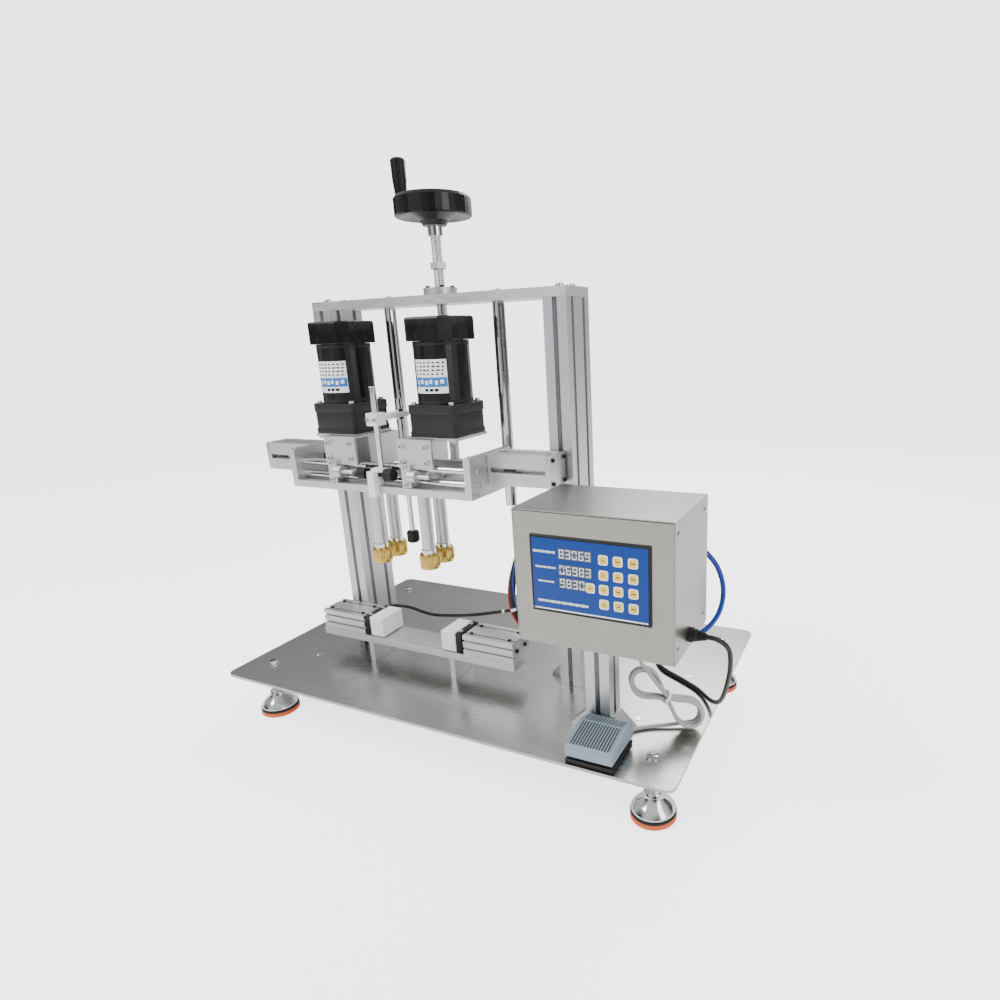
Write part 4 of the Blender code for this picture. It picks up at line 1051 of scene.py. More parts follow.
    def strain_relief(self) -> bpy.types.Object:
        """Make the gland: a flanged nut and a ribbed taper round the lead.

        Returns:
            The gland.
        """
        low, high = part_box("power_gland")
        place = (low.x, (low.y + high.y) / 2, (low.z + high.z) / 2)
        profile = [(0.0, 0.0), (0.0104, 0.0), (0.0104, 0.005), (0.0086, 0.0055), (0.0086, 0.010)]
        for k in range(6):
            z = 0.0110 + k * 0.0020
            radius = 0.0075 - k * 0.00045
            profile += [(radius, z), (radius, z + 0.0012), (radius - 0.0008, z + 0.0014)]
        profile += [(0.0042, 0.0240), (0.0, 0.0240)]
        made = piece("lead_gland", turned(profile, 24).moved(place, Axis.RIGHT), BLACK_MATT, Body.FRAME)
        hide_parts("power_gland")
        return made

    def ties(self, clamp: np.ndarray, loom: np.ndarray) -> None:
        """Put the narrow ties round the cords.

        Args:
            clamp: The clamp line's points.
            loom: The loom's points.
        """
        spots = [(clamp, 0.60, 0.0036), (loom, 0.55, 0.0067), (loom, 0.82, 0.0067)]
        bands = []
        for path, share, radius in spots:
            index = int(share * len(path))
            bands.append(tube(path[index : index + 2], radius, 16))
        piece("cord_ties", joined(bands), TIE_WHITE, Body.FRAME)

    def wire(self, name: str, loom: np.ndarray, phase: float, finish: Finish) -> bpy.types.Object:
        """Lay a thin wire along the loom: the loom's line plus r (n cos t + m sin t) with t growing slowly.

        Args:
            name: The wire's name.
            loom: The loom's points.
            phase: The angle where it starts.
            finish: Its finish.

        Returns:
            The wire.
        """
        ahead = np.gradient(loom, axis=0)
        side = np.cross(ahead, (0.2, 0.9, 0.3))
        side /= np.linalg.norm(side, axis=1)[:, None]
        up = np.cross(side, ahead)
        up /= np.linalg.norm(up, axis=1)[:, None]
        turn = (phase + np.linspace(0, self.wire_turn, len(loom)))[:, None]
        reach = self.loom_radius + self.wire_radius / 2
        path = loom + reach * (side * np.cos(turn) + up * np.sin(turn))
        return piece(name, tube(path, self.wire_radius, 8), finish, Body.FRAME, 60)


# Lit segments of the digits 0 to 9: a is the top bar, then clockwise to f, and g is the middle bar
SEGMENTS = ("abcdef", "bc", "abged", "abgcd", "fgbc", "afgcd", "afgedc", "abc", "abcdefg", "abcdfg")
SHOWN_DIGITS = (8, 3, 0, 6, 9)


@dataclass
class ControlBox:
    """The panel with its displays and keys, and the box's screws."""

    digit_size: tuple[float, float] = (0.0070, 0.0120)
    digit_pitch: float = 0.0095
    rows: tuple[tuple[int, float], ...] = ((5, 0.210), (5, 0.415), (4, 0.585))
    key_columns: tuple[float, ...] = (0.624, 0.742, 0.862)
    key_rows: tuple[float, ...] = (0.228, 0.420, 0.602, 0.790)
    extra_key: tuple[float, float] = (0.512, 0.602)
    bezel: float = 0.0036
    segment: float = 0.0014
    window_half: float = 0.0077
    window_margin: float = 0.0008
    legends: tuple[tuple[float, float, float, float], ...] = (
        (0.030, 0.225, 0.205, 0.0042),
        (0.045, 0.225, 0.405, 0.0034),
        (0.065, 0.200, 0.590, 0.0030),
        (0.055, 0.490, 0.850, 0.0044),
    )
    glands: tuple[tuple[float, float, float], ...] = (
        (0.264, -0.123, 0.009),
        (0.240, -0.115, 0.008),
        (0.219, -0.116, 0.0110),
        (0.345, -0.1445, 0.008),
    )
    air_port: tuple[float, float] = (0.412, 0.392)

    def build(self) -> None:
        """Make the panel's pieces and the screws."""
        low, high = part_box("key_panel")
        self.left, self.right, self.bottom, self.top = low.x, high.x, low.z, high.z
        self.face = low.y
        dress(["key_panel"], BEZEL_BLACK)
        dress(["control_box_body", "control_box_cover"], BRUSHED_BOX)
        dress(["box_post"], COLUMN_ALLOY)
        width = self.right - self.left - 2 * self.bezel
        height = self.top - self.bottom - 2 * self.bezel
        place = ((self.left + self.right) / 2, self.face, (self.bottom + self.top) / 2)
        sheet = slab(width, height, 0.0006, 0.0012, 0.0002).moved(place, Axis.FRONT)
        piece("membrane", sheet, MEMBRANE_BLUE, Body.FRAME)
        self.displays()
        self.keys()
        self.screws()

    def spot(self, across: float, down: float, proud: float) -> tuple[float, float, float]:
        """Work out a point on the panel.

        Args:
            across: Share of the panel's width from its left edge.
            down: Share of its height from its top edge.
            proud: Height over the panel's face.

        Returns:
            The point.
        """
        x = self.left + across * (self.right - self.left)
        return (x, self.face - proud, self.top - down * (self.top - self.bottom))

    def digit(self, place: Point, number: int) -> list[Surface]:
        """Make one seven-segment digit.

        Args:
            place: The digit's middle.
            number: The number it shows.

        Returns:
            Its lit segments.
        """
        width, height = self.digit_size
        thick = self.segment
        lit = SEGMENTS[number]
        spans = {
            "a": (-width / 2, width / 2, height / 2 - thick, height / 2),
            "g": (-width / 2, width / 2, -thick / 2, thick / 2),
            "d": (-width / 2, width / 2, -height / 2, -height / 2 + thick),
            "f": (-width / 2, -width / 2 + thick, thick, height / 2 - thick),
            "b": (width / 2 - thick, width / 2, thick, height / 2 - thick),
            "e": (-width / 2, -width / 2 + thick, -height / 2 + thick, -thick),
            "c": (width / 2 - thick, width / 2, -height / 2 + thick, -thick),
        }
        x, y, z = place
        made = []
        for mark in lit:
            x0, x1, z0, z1 = spans[mark]
            made.append(block((x + x0, y - 0.0003, z + z0), (x + x1, y, z + z1), 0.0001))
        return made

    def displays(self) -> None:
        """Make the three display windows with their digits, and the marks beside and below them."""
        windows = []
        segments = []
        start = self.spot(0.252, 0, 0)[0]
        for row, (count, down) in enumerate(self.rows):
            z = self.spot(0, down, 0)[2]
            stop = start + self.digit_pitch * count
            low = (start - self.window_margin, self.face - 0.0012, z - self.window_half)
            high = (stop + self.window_margin, self.face - 0.0004, z + self.window_half)
            windows.append(block(low, high, 0.0003))
            for k in range(count):
                place = (start + self.digit_pitch * (k + 0.5), self.face - 0.0012, z)
                number = SHOWN_DIGITS[(k + 2 * row) % len(SHOWN_DIGITS)]
                segments += self.digit(place, number)
        piece("display_windows", joined(windows), WINDOW_GREY, Body.FRAME)
        piece("display_digits", joined(segments), DIGIT_PALE, Body.FRAME)
        marks = [bar for legend in self.legends for bar in self.marks(*legend)]
        low, high = self.spot(0.022, 0.962, 0.0008), self.spot(0.975, 0.945, 0.0005)
        marks.append(block(low, high, 0.0001))
        piece("panel_marks", joined(marks), PRINT_WHITE, Body.FRAME)

    def marks(self, start: float, end: float, down: float, height: float) -> list[Surface]:
        """Make a row of plain upright bars of unequal width and height, in place of lettering.

        Args:
            start: Share of the panel's width where the row starts.
            end: Share where it ends.
            down: Share of the panel's height at its middle.
            height: Height of the tallest bar.

        Returns:
            The bars.
        """
        x, _, z = self.spot(start, down, 0)
        stop = self.spot(end, down, 0)[0]
        bars = []
        k = 0
        while x < stop:
            wide = 0.0010 + 0.0012 * ((k * 0.618) % 1)
            tall = height * (0.62 + 0.38 * ((k * 0.755) % 1)) / 2
            low = (x, self.face - 0.0008, z - tall)
            high = (x + wide, self.face - 0.0005, z + tall)
            bars.append(block(low, high, 0.0001))
            x += wide + 0.0007
            k += 1
        return bars

    def keys(self) -> None:
        """Make the membrane keys: a pale rim, a yellow field and a small mark on each."""
        rims = []
        fields = []
        marks = []
        spots = [(across, down) for down in self.key_rows for across in self.key_columns]
        spots.append(self.extra_key)
        for k, (across, down) in enumerate(spots):
            x, y, z = self.spot(across, down, 0.0004)
            rims.append(slab(0.0134, 0.0138, 0.0008, 0.0030, 0.0003).moved((x, y, z), Axis.FRONT))
            fields.append(slab(0.0094, 0.0096, 0.0003, 0.0022, 0.0001).moved((x, y - 0.0008, z), Axis.FRONT))
            wide = 0.0014 + 0.0011 * (k % 3)
            low = (x - wide, y - 0.0013, z - 0.0006)
            high = (x + wide, y - 0.0010, z + 0.0006)
            marks.append(block(low, high, 0.0001))
        piece("key_rims", joined(rims), KEY_RIM, Body.FRAME)
        piece("key_fields", joined(fields), KEY_YELLOW, Body.FRAME)
        piece("key_marks", joined(marks), BLACK_MATT, Body.FRAME)

    def screws(self) -> None:
        """Put screws in the cover's sides, cord glands under the box and the air fitting on its back."""
        low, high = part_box("control_box_cover")
        heads = []
        for y in (low.y + 0.014, high.y - 0.016):
            for z in (low.z + 0.018, high.z - 0.018):
                heads.append(cap_screw(0.0035, 0.0016).moved((high.x, y, z), Axis.RIGHT))
                heads.append(cap_screw(0.0035, 0.0016).moved((low.x, y, z), Axis.LEFT))
        piece("box_screws", joined(heads), CHROME, Body.FRAME)
        nuts = []
        for x, y, radius in self.glands:
            bore = radius - 0.0042
            ring = [(bore, 0.0), (radius, 0.0), (radius, 0.005), (radius - 0.002, 0.0085), (bore, 0.0085)]
            nuts.append(turned(ring, 6, True).moved((x, y, low.z), Axis.DOWN))
        piece("box_glands", joined(nuts), BLACK_MATT, Body.FRAME)
        elbow = [(0.0045, 0.0), (0.0085, 0.0), (0.0085, 0.006), (0.0070, 0.012), (0.0045, 0.012)]
        x, z = self.air_port
        fitting = turned(elbow, 24, True).moved((x, high.y, z), Axis.BACK)
        piece("air_fitting", fitting, BLACK_GLOSS, Body.FRAME)


@dataclass
class Foot:
    """One levelling foot: orange rubber pad, black ring, chrome cone and stem, and its nuts."""

    node: str

    def build(self) -> None:
        """Make the foot's pieces in place of its CAD solid; the profiles are (radius, height) pairs."""
        place = upright_through(self.node)
        pad = [(0.0, 0.0), (0.0335, 0.0), (0.0350, 0.0015), (0.0350, 0.0070), (0.0340, 0.0086), (0.0, 0.0086)]
        piece(f"{self.node}_pad", turned(pad, 56).moved(place), RING_ORANGE, Body.FRAME)
        ring = [(0.0, 0.0086), (0.0340, 0.0086), (0.0348, 0.0096), (0.0348, 0.0120), (0.0340, 0.0130)]
        ring += [(0.0300, 0.0134), (0.0, 0.0134)]
        piece(f"{self.node}_ring", turned(ring, 56).moved(place), BLACK_MATT, Body.FRAME)
        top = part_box("base_plate")[1].z
        cone = [(0.0, 0.0134), (0.0330, 0.0134), (0.0338, 0.0150), (0.0330, 0.0175), (0.0250, 0.0265)]
        cone += [(0.0175, 0.0335), (0.0148, 0.0385), (0.0140, 0.0430), (0.0118, 0.0450), (0.0098, 0.0460)]
        cone += [(0.0095, 0.0470), (0.0, 0.0470)]
        made = piece(f"{self.node}_cone", turned(cone, 56).moved(place), CHROME, Body.FRAME, 50)
        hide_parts(self.node)
        stem = threaded(0.0062, 0.0455, top + 0.0042, 0.00125)
        nut = hex_prism(0.0118, 0.0095).moved((0, 0, top - 0.0150))
        washer = [(0.0, top + 0.0002), (0.0098, top + 0.0002), (0.0098, top + 0.0016), (0.0, top + 0.0016)]
        cap = hex_prism(0.0088, 0.0030).moved((0, 0, top + 0.0014))
        whole = joined([stem, nut, turned(washer, 32), cap])
        piece(f"{self.node}_stem", whole.moved(place), CHROME, Body.FRAME, 30)


@dataclass
class Spindle:
    """One capping spindle: a steel shaft with a knurled brass roller and a clamp collar."""

    node: str
    flutes: int = 30
    flute_depth: float = 0.0011
    shoulder: float = 0.1757

    def build(self) -> None:
        """Make the spindle's pieces in place of its CAD solid; the profiles are (radius, height) pairs."""
        low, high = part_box(self.node)
        place = upright_through(self.node)
        body = Body(self.node)
        base = low.z
        shoulder = base + self.shoulder
        shaft = [(0.0, base + 0.026), (0.0110, base + 0.026), (0.0110, shoulder - 0.001), (0.0100, shoulder)]
        shaft += [(0.0080, shoulder), (0.0080, high.z), (0.0, high.z)]
        made = piece(f"{self.node}_shaft", turned(shaft, 32).moved(place), CYLINDER_ALLOY, body)
        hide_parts(self.node)
        roller = [(0.0, base + 0.002), (0.0060, base + 0.002), (0.0065, base), (0.0160, base)]
        roller += [(0.0172, base + 0.0012), (0.0172, base + 0.0030), (0.0165, base + 0.0036)]
        roller += [(0.0165, base + 0.0046), (0.0175, base + 0.0052)]
        roller += [(0.0175, base + 0.0150), (0.0175, base + 0.0242), (0.0165, base + 0.0250)]
        roller += [(0.0160, base + 0.0270), (0.0130, base + 0.0280), (0.0, base + 0.0280)]
        shape = knurled(roller, self.flutes, self.flute_depth, base + 0.0050, base + 0.0243)
        piece(f"{self.node}_roller", shape.moved(place), KNURLED_BRASS, body)
        collar = [(0.0, base + 0.0275), (0.0128, base + 0.0275), (0.0128, base + 0.0345)]
        collar += [(0.0115, base + 0.0355), (0.0, base + 0.0355)]
        piece(f"{self.node}_collar", turned(collar, 32).moved(place), CHROME, body)


@dataclass
class MotorHead:
    """One capping head's motor, gearbox, fan cover and bracket details."""

    side: str
    body: Body
    label_angles: tuple[float, float] = (-122.0, -46.0)
    label_height: float = 0.052
    bracket_shift: float = 0.024
    bracket_front: float = -0.158
    block_front: float = -0.1655
    block_shift: float = 0.0152
    front_rows: tuple[float, float] = (0.506, 0.531)
    block_rows: tuple[float, float] = (0.4700, 0.4985)
    shelf_level: float = 0.5385

    def build(self) -> None:
        """Dress the head's CAD solids and add its small pieces."""
        dress([f"head_bracket_{self.side}"], MILLED_ALLOY)
        dress([f"motor_{self.side}"], BLACK_GLOSS)
        self.gearbox()
        self.fan_cover()
        self.label()
        self.bracket_screws()

    def gearbox(self) -> None:
        """Make the cast gearbox: a body between two slightly wider flanges, and four screws on its top."""
        low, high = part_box(f"gearbox_{self.side}")
        x, y, _ = upright_through(f"gearbox_{self.side}")
        wide = high.x - low.x
        parts = [
            slab(wide, wide, 0.0085, 0.006, 0.0008).moved((x, y, low.z)),
            slab(wide - 0.0022, wide - 0.0022, 0.0290, 0.006, 0.0006).moved((x, y, low.z + 0.0080)),
            slab(wide, wide, 0.0150, 0.006, 0.0010).moved((x, y, high.z - 0.0151)),
        ]
        made = piece(f"gearbox_casting_{self.side}", joined(parts), BLACK_CAST, self.body)
        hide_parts(f"gearbox_{self.side}")
        reach = wide / 2 - 0.0085
        spots = [(sx, sy) for sx in (-1, 1) for sy in (-1, 1)]
        heads = [
            cap_screw(0.0042, 0.0040).moved((x + sx * reach, y + sy * reach, high.z)) for sx, sy in spots
        ]
        piece(f"gearbox_screws_{self.side}", joined(heads), TURNED_STEEL, self.body)

    def fan_cover(self) -> None:
        """Make the fan cover: a skirt with cut corners, slots on its top and round plugs in its sides."""
        low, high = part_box(f"fan_cover_{self.side}")
        x, y, _ = upright_through(f"fan_cover_{self.side}")
        half = (high.x - low.x) / 2
        rings = []
        for shrink, z in ((0.0012, 0.0), (0.0, 0.0012), (0.0, 0.0325), (0.0012, 0.0352), (0.0035, 0.0365)):
            inset = half - 0.015
            edge = half - shrink
            flat = [(edge, inset), (inset, edge), (-inset, edge), (-edge, inset)]
            flat += [(-px, -py) for px, py in flat]
            rings.append([(px, py, z) for px, py in flat])
        cover = lofted(np.array(rings)).moved((x, y, low.z))
        made = piece(f"fan_cowl_{self.side}", cover, BLACK_GLOSS, self.body, 25)
        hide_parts(f"fan_cover_{self.side}")
        plugs = []
        disc = [(0.0, 0.0), (0.0048, 0.0), (0.0048, 0.0002), (0.0, 0.0002)]
        level = low.z + 0.0085
        for axis, place in (
            (Axis.FRONT, (x - 0.012, low.y, level)),
            (Axis.BACK, (x + 0.012, high.y, level)),
            (Axis.RIGHT, (high.x, y + 0.006, level)),
            (Axis.LEFT, (low.x, y + 0.006, level)),
        ):
            plugs.append(turned(disc, 24).moved(place, axis))
        slots = []
        slot = slab(0.0200, 0.0034, 0.0003, 0.0016, 0.0001)
        for angle in np.arange(12) * TAU / 12:
            cosine, sine = math.cos(angle), math.sin(angle)
            turn = np.array([[cosine, sine, 0], [-sine, cosine, 0], [0, 0, 1]])
            out = np.array([0.024, 0, 0]) @ turn
            slots.append(Surface(slot.points @ turn + out + np.array([x, y, high.z]), slot.faces))
        piece(f"fan_vents_{self.side}", joined([*plugs, *slots]), BEZEL_BLACK, self.body)

    def label(self) -> None:
        """Wrap a blank rating label round the motor: white above and below a blue band, with plain marks."""
        low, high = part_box(f"motor_{self.side}")
        middle = upright_through(f"motor_{self.side}")
        radius = (high.x - low.x) / 2
        bottom = low.z + 0.018
        first, last = self.label_angles
        white = wrapped(radius, 0.0003, bottom, bottom + self.label_height, first, last)
        piece(f"label_white_{self.side}", white.moved(middle), PRINT_WHITE, self.body)
        blue = wrapped(radius, 0.0005, bottom + 0.010, bottom + 0.0245, first + 1, last - 1)
        piece(f"label_blue_{self.side}", blue.moved(middle), LABEL_BLUE, self.body)
        lines = []
        for row in range(4):
            z = bottom + 0.0285 + row * 0.0058
            for k in range(7):
                start = first + 4 + k * 10.0 + row
                lines.append(wrapped(radius, 0.0005, z, z + 0.0022, start, start + 5.0 + (k * row) % 3))
        for k in range(3):
            start = first + 26 + k * 11.0
            lines.append(wrapped(radius, 0.0005, bottom + 0.0030, bottom + 0.0072, start, start + 8))
        piece(f"label_lines_{self.side}", joined(lines).moved(middle), BEZEL_BLACK, self.body)
        marks = []
        for k in range(6):
            start = first + 6 + k * 11.0
            z = bottom + 0.0135 + (k % 2) * 0.0015
            marks.append(wrapped(radius, 0.0007, z, z + 0.0062, start, start + 5.5 + (k % 3)))
        piece(f"label_marks_{self.side}", joined(marks).moved(middle), PRINT_WHITE, self.body)
        bands = []
        for z in (low.z + 0.002, high.z - 0.0065):
            profile = [(0.0, z), (radius + 0.0003, z), (radius + 0.0003, z + 0.0045), (0.0, z + 0.0045)]
            bands.append(turned(profile, 48))
        piece(f"motor_bands_{self.side}", joined(bands).moved(middle), BLACK_MATT, self.body)

    def bracket_screws(self) -> None:
        """Put socket screws in the bracket's front plate and clamp block, and nuts under its shelf."""
        low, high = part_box(f"motor_{self.side}")
        inward = self.bracket_shift if self.side == "left" else -self.bracket_shift
        middle = (low.x + high.x) / 2 + inward
        heads = []
        for across in (-self.bracket_shift, self.bracket_shift):
            for z in self.front_rows:
                place = (middle + across, self.bracket_front, z)
                heads.append(cap_screw(0.0043, 0.0042).moved(place, Axis.FRONT))
        for z in self.block_rows:
            place = (middle - self.block_shift, self.block_front, z)
            heads.append(cap_screw(0.0036, 0.0038).moved(place, Axis.FRONT))
        for x in (low.x + 0.006, high.x - 0.006):
            place = (x, low.y + 0.006, self.shelf_level)
            heads.append(hex_prism(0.0050, 0.0035).moved(place, Axis.DOWN))
        piece(f"bracket_screws_{self.side}", joined(heads), TURNED_STEEL, self.body)


@dataclass
class Carriage:
    """The lifting tray with its head cylinders, rods, stops and presser."""

    cap_length: float = 0.010
    thin_cap: float = 0.0045
    cap_overlap: float = 0.0006
    bolt_reach: float = 0.0185
    wall_rows: tuple[float, float] = (0.4730, 0.4945)
    floor_row: float = 0.4583
    bearing_top: float = 0.504
    bearing_flange: float = 0.469
    bearing_bolts: float = 0.0168
    post_at: tuple[float, float] = (-0.0935, -0.1613)
    rod_at: tuple[float, float] = (-0.101, -0.094)
    rod_nuts: tuple[float, float] = (0.5788, 0.5655)
    arm_screws: tuple[float, float] = (-0.1005, -0.0865)

    def build(self) -> None:
        """Dress the carriage and add its screws, caps and fittings."""
        dress(["carriage_floor", "carriage_wall_left", "carriage_wall_right"], MILLED_ALLOY)
        dress(["slide_rod_lower", "slide_rod_upper"], CHROME)
        dress(["head_cylinder_left", "head_cylinder_right"], CYLINDER_ALLOY)
        dress(["stop_stud", "presser_bumper"], BLACK_MATT)
        dress(["stop_bracket", "presser_arm"], WHITE_NYLON)
        self.caps()
        self.wall_screws()
        self.bearings()
        self.presser()

    def caps(self) -> None:
        """Make the head cylinders' end caps with corner screws and air fittings."""
        for side, sign, axis in (("left", -1, Axis.LEFT), ("right", 1, Axis.RIGHT)):
            low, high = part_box(f"head_cylinder_{side}")
            x = high.x if sign > 0 else low.x
            _, y, z = middle_of(f"head_cylinder_{side}")
            wide = high.y - low.y + self.cap_overlap
            plate = slab(wide, wide, self.cap_length, 0.003, 0.0008)
            start = (x - sign * (self.cap_length - 0.0010), y, z)
            near = (low.x + 0.0004 if sign > 0 else high.x - 0.0004, y, z)
            thin = slab(wide, wide, self.thin_cap, 0.003, 0.0006)
            caps = [plate.moved(start, axis), thin.moved(near, axis)]
            piece(f"cylinder_caps_{side}", joined(caps), COLUMN_ALLOY, Body.CARRIAGE)
            heads = []
            for dy in (-self.bolt_reach, self.bolt_reach):
                for dz in (-self.bolt_reach, self.bolt_reach):
                    spot = (x + sign * 0.0010, y + dy, z + dz)
                    heads.append(cap_screw(0.0034, 0.0030).moved(spot, axis))
            piece(f"cylinder_screws_{side}", joined(heads), BLACK_MATT, Body.CARRIAGE)
            fittings = []
            for along in (0.016, high.x - low.x - 0.018):
                profile = [(0.0, 0.0), (0.0062, 0.0), (0.0062, 0.0045), (0.0050, 0.0052)]
                profile += [(0.0050, 0.0105), (0.0036, 0.0120), (0.0, 0.0120)]
                place = (low.x + along, high.y, z + 0.006)
                fittings.append(turned(profile, 20).moved(place, Axis.BACK))
            piece(f"cylinder_fittings_{side}", joined(fittings), BLACK_GLOSS, Body.CARRIAGE)
            near = (low.x + 0.030, low.y - 0.0006, z - 0.0022)
            far = (low.x + 0.052, low.y + 0.0006, z + 0.0022)
            piece(f"reed_switch_{side}", block(near, far, 0.0004), BLACK_GLOSS, Body.CARRIAGE)

    def wall_screws(self) -> None:
        """Put socket screws in the outside and the top of the tray's end walls."""
        heads = []
        for side, axis in (("left", Axis.LEFT), ("right", Axis.RIGHT)):
            low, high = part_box(f"carriage_wall_{side}")
            x = low.x if side == "left" else high.x
            heads.append(cap_screw(0.0034, 0.0030).moved((x, low.y + 0.012, self.floor_row), axis))
            for z in self.wall_rows:
                heads.append(cap_screw(0.0040, 0.0036).moved((x, low.y + 0.020, z), axis))
            heads.append(cap_screw(0.0030, 0.0026).moved(((low.x + high.x) / 2, low.y + 0.009, high.z)))
        piece("wall_screws", joined(heads), TURNED_STEEL, Body.CARRIAGE)

    def bearings(self) -> None:
        """Put end seals and flange screws on the linear bearings, in line with the guide rods."""
        seals = []
        heads = []
        for node in ("guide_rod_left", "guide_rod_right"):
            place = upright_through(node)
            top = self.bearing_top
            ring = [(0.0102, top), (0.0150, top), (0.0150, top + 0.0012), (0.0102, top + 0.0018)]
            seals.append(turned(ring, 40, True).moved(place))
            heads += screw_ring(place, self.bearing_bolts, self.bearing_flange, 0.0022)
        piece("bearing_seals", joined(seals), BLACK_MATT, Body.CARRIAGE)
        piece("bearing_screws", joined(heads), TURNED_STEEL, Body.CARRIAGE)

    def presser(self) -> None:
        """Put the chrome post and rod over their white plastic, with clamp screws and two lock nuts."""
        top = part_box("stop_bracket")[1].z
        post = [(0.0, 0.4945), (0.0050, 0.4945), (0.0051, 0.4950), (0.0051, top - 0.001)]
        post += [(0.0042, top + 0.0002), (0.0, top + 0.0002)]
        piece("stop_post_sleeve", turned(post, 28).moved((*self.post_at, 0)), CHROME, Body.CARRIAGE)
        low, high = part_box("presser_arm")
        rod = [(0.0, low.z), (0.00455, low.z), (0.00455, high.z), (0.0038, high.z + 0.0004)]
        rod += [(0.0, high.z + 0.0004)]
        shapes = [turned(rod, 28).moved((*self.rod_at, 0))]
        shapes += [hex_prism(0.0082, 0.0050).moved((*self.rod_at, z)) for z in self.rod_nuts]
        piece("presser_rod_sleeve", joined(shapes), CHROME, Body.PRESSER)
        heads = [cap_screw(0.0034, 0.0034).moved((x, -0.172, 0.5745), Axis.FRONT) for x in self.arm_screws]
        piece("presser_screws", joined(heads), TURNED_STEEL, Body.PRESSER)


@dataclass
class LiftScrew:
    """The handwheel, its grip, the lead screw and the lock nut."""

    pitch: float = 0.004
    radius: float = 0.0090
    flange_bolts: float = 0.0205

    def build(self) -> None:
        """Dress the wheel and make the threaded screw."""
        dress(["handwheel", "handwheel_grip"], BLACK_GLOSS)
        dress(["screw_lock_nut", "flange_nut"], TURNED_STEEL)
        low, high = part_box("lead_screw")
        place = upright_through("lead_screw")
        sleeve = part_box("handwheel")[0].z - 0.0003
        screw = threaded(self.radius, low.z + 0.010, sleeve - 0.010, self.pitch, 28)
        foot = [(0.0, low.z), (0.0138, low.z), (0.0140, low.z + 0.001), (0.0140, low.z + 0.0205)]
        foot += [(0.0, low.z + 0.0205)]
        neck = [(0.0, sleeve - 0.0145), (0.0120, sleeve - 0.0145), (0.0120, sleeve), (0.0, sleeve)]
        made = piece("screw_thread", screw.moved(place), TURNED_STEEL, Body.SCREW, 60)
        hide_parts("lead_screw")
        piece("screw_ends", joined([turned(foot, 32), turned(neck, 32)]).moved(place), CHROME, Body.SCREW)
        cap = [(0.0, high.z - 0.012), (0.0095, high.z - 0.006), (0.0095, high.z + 0.0015)]
        cap += [(0.0085, high.z + 0.0025), (0.0, high.z + 0.0025)]
        piece("wheel_cap", turned(cap, 32).moved(place), CHROME, Body.SCREW)
        heads = screw_ring(place, self.flange_bolts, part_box("flange_nut")[1].z, 0.0036)
        piece("nut_screws", joined(heads), BLACK_MATT, Body.FRAME)


@dataclass
class ColumnFrame:
    """The base plate, columns, beam and guide rods with their screws and brackets."""

    leg: float = 0.030
    bracket_half: float = 0.015
    clearance: float = 0.0003
    plate_spots: tuple[tuple[float, float], ...] = (
        (-0.332, -0.140),
        (0.335, -0.118),
        (-0.360, 0.060),
        (0.372, 0.040),
    )

    def build(self) -> None:
        """Dress the frame and add its small pieces."""
        dress(["base_plate"], BRUSHED_PLATE)
        dress(["column_left", "column_right"], COLUMN_ALLOY)
        dress(["top_beam"], MILLED_ALLOY)
        dress(["guide_rod_left", "guide_rod_right"], CHROME)
        beam_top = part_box("top_beam")[1].z
        heads = []
        for node in ("column_left", "column_right"):
            low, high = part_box(node)
            for y in (low.y + 0.020, high.y - 0.020):
                heads.append(cap_screw(0.0062, 0.0055).moved(((low.x + high.x) / 2, y, beam_top)))
        for node in ("guide_rod_left", "guide_rod_right"):
            x, y, _ = middle_of(node)
            heads.append(cap_screw(0.0055, 0.0050).moved((x, y, beam_top)))
        piece("beam_screws", joined(heads), CHROME, Body.FRAME)
        self.gussets()
        self.plate_screws()

    def gussets(self) -> None:
        """Make cast corner brackets where the columns and the box's post meet the plate."""
        leg = self.leg
        outline = np.array(
            [(0.0, 0.0), (leg, 0.0), (leg, 0.004), (0.006, leg - 0.002), (0.004, leg), (0.0, leg)]
        )
        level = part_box("base_plate")[1].z + self.clearance + outline[:, 1]
        shapes = []
        for node, side in (("column_left", 1), ("column_right", -1), ("box_post", 1), ("box_post", -1)):
            low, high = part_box(node)
            y = middle_of(node)[1]
            reach = (high.x if side > 0 else low.x) + side * (self.clearance + outline[:, 0])
            rings = [
                np.column_stack([reach, np.full(len(outline), y + side * across), level])
                for across in (self.bracket_half, -self.bracket_half)
            ]
            shapes.append(lofted(np.array(rings)))
        piece("corner_brackets", joined(shapes), MILLED_ALLOY, Body.FRAME, 25)

    def plate_screws(self) -> None:
        """Put low screw heads in the plate's four spare holes."""
        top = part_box("base_plate")[1].z
        profile = [(0.0, 0.0002), (0.0058, 0.0002), (0.0052, 0.0007), (0.0026, 0.0008), (0.0, 0.0004)]
        heads = [turned(profile, 28).moved((x, y, top)) for x, y in self.plate_spots]
        piece("plate_screws", joined(heads), CHROME, Body.FRAME)


